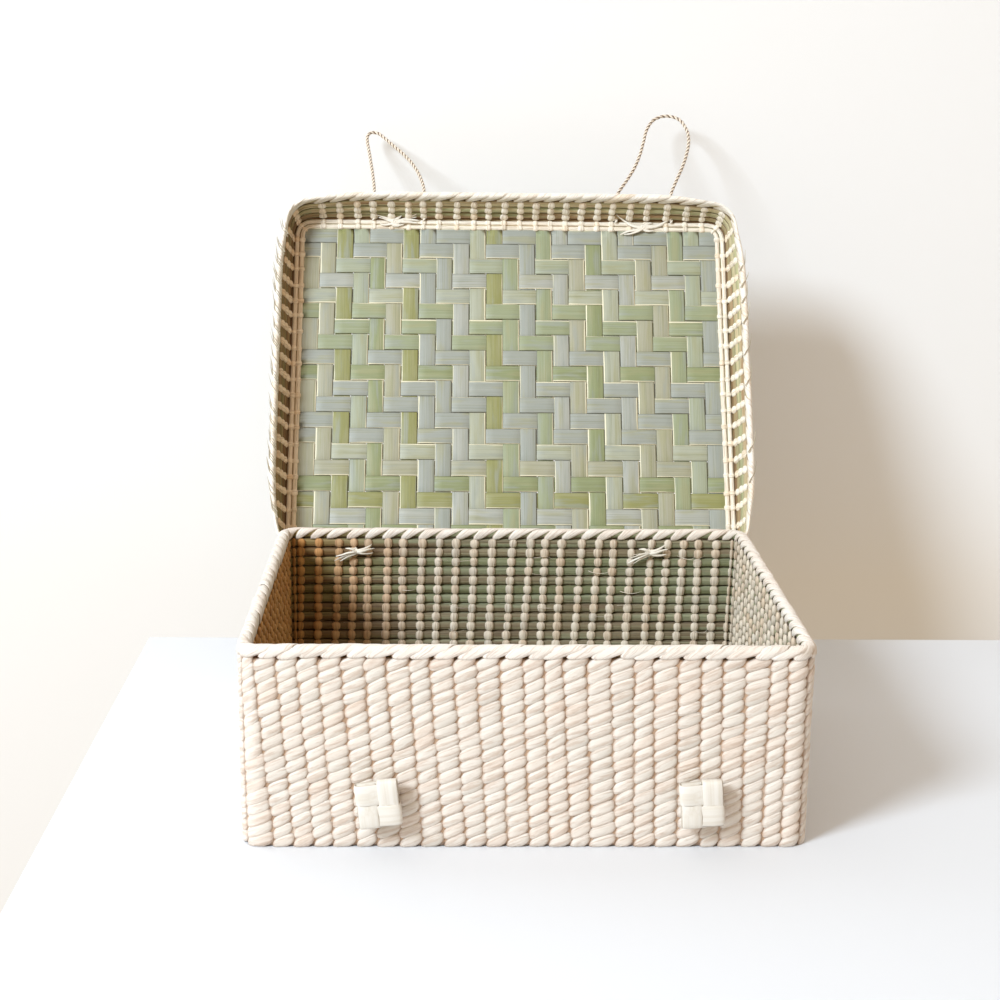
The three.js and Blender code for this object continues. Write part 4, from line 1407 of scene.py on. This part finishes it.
# Where the middle of each loop's knot lies: across from the middle of the loop, and up
LOOP_KNOTS = ((-3.0, 0), (0.0, -3.4))
HINGE_TAIL_RISE = (1.0, 1.15)
HINGE_KNOT_Z = PIVOT.z + 5 * MM


def make_hinge_tie(i, name):
    """Two turns round the lid's rim, two cords through the wall, and a knot inside it."""
    x, rise = HINGE_X[i], HINGE_TAIL_RISE[i]
    inner = BODY_DEPTH / 2 - WALL - 2.2 * MM
    knot = Vector((x, inner, HINGE_KNOT_Z))
    bundle = Bundle()
    bundle.coil((x, PIVOT.y, PIVOT.z), (1, 0, 0), 5.7 * MM, 2, 2.4 * MM, pitch=2.4 * MM)
    for across in (-1.3 * MM, 1.3 * MM):
        rim_end = (x + across, PIVOT.y - 5.2 * MM, PIVOT.z)
        bend = (x + across, PIVOT.y - 8 * MM, PIVOT.z + 1 * MM)
        bundle.cord([rim_end, bend, (x + across * 0.6, inner + 1 * MM, HINGE_KNOT_Z)], 2.2 * MM)
    bundle.coil(knot, (1, 0, 0.25 * rise), 1.9 * MM, 2.5, 2.1 * MM, pitch=1.8 * MM)

    def place_of(across, up, out):
        return knot + Vector((across, -out, up * rise)) * MM

    bundle.tails(HINGE_TAILS, place_of, 2.7, 1.5, 30 + 10 * i)
    bundle.settle("hinge_tie_" + name, knot_leaf, "basket", "cord", "hinge_cord_" + name)


def make_loop_tie(i, name):
    """The cord's two ends through the skirt, and its knot inside the lid."""
    inside = -(BODY_DEPTH / 2 - 1.5 * MM)
    knot_x, knot_up = LOOP_KNOTS[i]

    def place_of(x, up, out):
        """A place inside the lid, in millimetres: over the edge courses, then up along the skirt.

        It stays above the box's rim, and outside it, when the lid is shut."""
        over, level = max(up - 3.0, 0.0), min(up, 3.0)
        y, z = -133.0 - level - 0.36 * over, 127.8 - 0.2 * out - 0.93 * over
        return Vector((LOOP_X[i] + (x + knot_x) * MM, y * MM, z * MM))

    bundle = Bundle()
    for end in (-1, 1):
        x = LOOP_X[i] + end * LOOP_HALF[i]
        ys = (-LOOP_Y + 0.2 * MM, -LOOP_Y + 6 * MM, inside)
        bundle.cord([(x, y, LOOP_Z) for y in ys], LOOP_CORD)
    bundle.tails(LOOP_TAILS[i], place_of, 3.0, 1.5, 70 + 10 * i, loose=0.15)
    bundle.coil(place_of(0, knot_up, 1), (1, 0.2, 0), 2.2 * MM, 2.2, 1.7 * MM, pitch=1.5 * MM, flat=0.2)
    bundle.settle("loop_knot_" + name, knot_leaf, "lid", "cord", "loop_tie_" + name)


def make_rim_tips():
    """Loose leaf tips along the lid's sides, up to three from each wrap."""
    chooser = random.Random(19)
    bundle = Bundle()
    bend_y = BODY_DEPTH / 2 - CORNER_RADIUS * 0.3
    z = LID_RIM_Z - 4.6 * MM
    for wall, side, share in (("left", -1, 0.6), ("right", 1, 0.15)):
        for place in [middle + shift * MM for middle in LID_MIDDLES for shift in (0, 2.2, 4.6)]:
            if wall_of(place) != wall or chooser.random() > share:
                continue
            if side > 0:
                y = -(FLAT[0] + FLAT[1] / 2 + BEND - place)
            else:
                y = -(place + FLAT[1] / 2 + BEND - ROUND)
            far = min(abs(y - end * bend_y) for end in (-1, 1))
            reach = LID_RIM_OUT * (1 - LID_DRAW * math.exp(-((far / DRAWN_LENGTH) ** 2)))
            x = side * (BODY_WIDTH / 2 + reach + 1.6 * MM)
            length = chooser.uniform(7, 12) * MM
            out, drop = side * chooser.uniform(1.0, 3.2) * MM, chooser.uniform(-1, 1) * MM
            route = [
                (x - side * 4.4 * MM, y + 7 * MM, z),
                (x - side * 2.4 * MM, y + 3.5 * MM, z - 0.4 * MM),
                (x, y, z + 0.4 * MM),
                (x + out * 0.55, y - length * 0.5, z + 1.0 * MM + drop * 0.5),
                (x + out, y - length, z + 1.6 * MM + drop),
            ]
            bundle.strand(route, 1.1 * MM, 0.5 * MM, chooser.random(), len(bundle.points), tip=0.15)
    bundle.settle("lid_rim_tips", browned_ends, "lid", "wrapped_rim")


def make_loose_fibres():
    """Fine ends of leaf that have come away from the courses inside the back wall."""
    chooser = random.Random(23)
    bundle = Bundle()
    face = BODY_DEPTH / 2 - WALL
    for _ in range(26):
        x, z = chooser.uniform(-140, 140) * MM, chooser.uniform(14, 112) * MM
        length, bow = chooser.uniform(9, 22) * MM, chooser.uniform(-2.5, 2.5) * MM
        off = chooser.uniform(1.6, 3.2) * MM
        route = [
            (x, face + 1 * MM, z),
            (x + length * 0.25, face - off, z + bow * 0.7),
            (x + length * 0.7, face - off, z + bow),
            (x + length, face - off * 0.5, z - bow * 0.3),
        ]
        bundle.strand(route, 0.5 * MM, 0.3 * MM, chooser.random(), len(bundle.points), tip=0.2)
    bundle.settle("loose_fibres", cord_leaf, "basket", "leaf_course")


def make_button_tie(i, name):
    """Two cords from behind the button, through the wall, to a knot inside."""
    x, inner = BUTTON_X[i], -(BODY_DEPTH / 2 - WALL - 2 * MM)
    knot = Vector((x, inner, BUTTON_TIE_Z))
    bundle = Bundle()
    for across in (-1.1 * MM, 1.1 * MM):
        bundle.cord([(x + across, y, BUTTON_TIE_Z) for y in (-139 * MM, -134 * MM, inner)], 1.9 * MM)
    bundle.coil(knot, (1, 0, 0.2), 1.6 * MM, 2.5, 1.6 * MM, pitch=1.4 * MM)

    def place_of(across, up, out):
        return knot + Vector((-across * 0.7, out, up * 0.7)) * MM

    bundle.tails(HINGE_TAILS, place_of, 1.7, 0.8, 110 + 10 * i)
    bundle.settle("button_tie_" + name + "_cords", cord_leaf, "basket", "cord", "button_tie_" + name)


make_both(make_hinge_tie)
make_both(make_loop_tie)
make_rim_tips()
make_loose_fibres()
make_both(make_button_tie)

for shape in (grain, bead, round_bead, flat_bead, flat_grain, body_wrap, lid_wrap, outline):
    bpy.data.objects.remove(shape)


# Table, wall and light
TABLE = ((-0.29, -0.9), (1.6, -0.9), (1.6, 0.256), (-0.29, 0.256))
WALL_Y = 0.416
WALL_EDGES = ((-8, -4), (8, -4), (8, 6), (-8, 6))
WALL_OPENING = ((-0.188, -0.04), (0.188, -0.04), (0.188, 0.12), (-0.188, 0.12))
WINDOW_PLACE = Vector((-1.9, -1.7, 1.9))
WINDOW_AIM = Vector((0, 0, 0.15))
WINDOW_SIZE = 0.9
WINDOW_POWER = 112
WINDOW_SHADE = (0.78, 0.89, 1.0)
ROOM_LEFT, ROOM_RIGHT = (0.76, 0.65, 0.51, 1), (0.50, 0.37, 0.24, 1)
ROOM_SEEN = (0.965, 0.945, 0.915, 1)


def make_stage():
    """The table and, behind it, the wall, which is seen from its front only.

    Behind the box the wall is left open where the lid goes when it is laid right back."""
    floor = new_piece("floor", [(x, y, 0) for x, y in TABLE], [(0, 1, 2, 3)])
    material, _, shader = new_material("pale table", 0.55)
    shader.inputs["Base Color"].default_value = colour(222, 224, 228)
    floor.data.materials.append(material)
    sides = [(i, (i + 1) % 4, (i + 1) % 4 + 4, i + 4) for i in range(4)]
    wall = new_piece("wall", [(x, WALL_Y, z) for x, z in WALL_EDGES + WALL_OPENING], sides)
    material, tree, shader = new_material("pale wall", 0.8, specular=0.1)
    shader.inputs["Base Color"].default_value = colour(238, 238, 238)
    clear = result(tree, "ShaderNodeBsdfTransparent")
    back = result(tree, "ShaderNodeNewGeometry", out="Backfacing")
    shown = result(tree, "ShaderNodeMixShader", {0: back, 1: Value(tree, shader.outputs[0]), 2: clear})
    feed(tree.nodes["Material Output"].inputs["Surface"], shown)
    wall.data.materials.append(material)


def make_window():
    data = bpy.data.lights.new("window", "AREA")
    data.shape = "DISK"
    data.size = WINDOW_SIZE
    data.energy = WINDOW_POWER
    data.color = WINDOW_SHADE
    light = bpy.data.objects.new("window", data)
    aim = (WINDOW_PLACE - WINDOW_AIM).to_track_quat("Z", "Y").to_matrix().to_4x4()
    light.matrix_world = Matrix.Translation(WINDOW_PLACE) @ aim
    scene.collection.objects.link(light)


def make_room():
    """Soft light from all round, warmer and darker towards the right, and plain where seen."""
    world = bpy.data.worlds.new("pale room")
    world.use_nodes = True
    tree = world.node_tree
    way, _, _ = split(result(tree, "ShaderNodeTexCoord", out="Generated"))
    shade = mixed(between(way, -0.4, 0.8), ROOM_LEFT, ROOM_RIGHT)
    seen = result(tree, "ShaderNodeLightPath", out="Is Camera Ray")
    feed(tree.nodes["Background"].inputs["Color"], mixed(seen, shade, ROOM_SEEN))
    tree.nodes["Background"].inputs["Strength"].default_value = 1.0
    scene.world = world


make_stage()
make_window()
make_room()
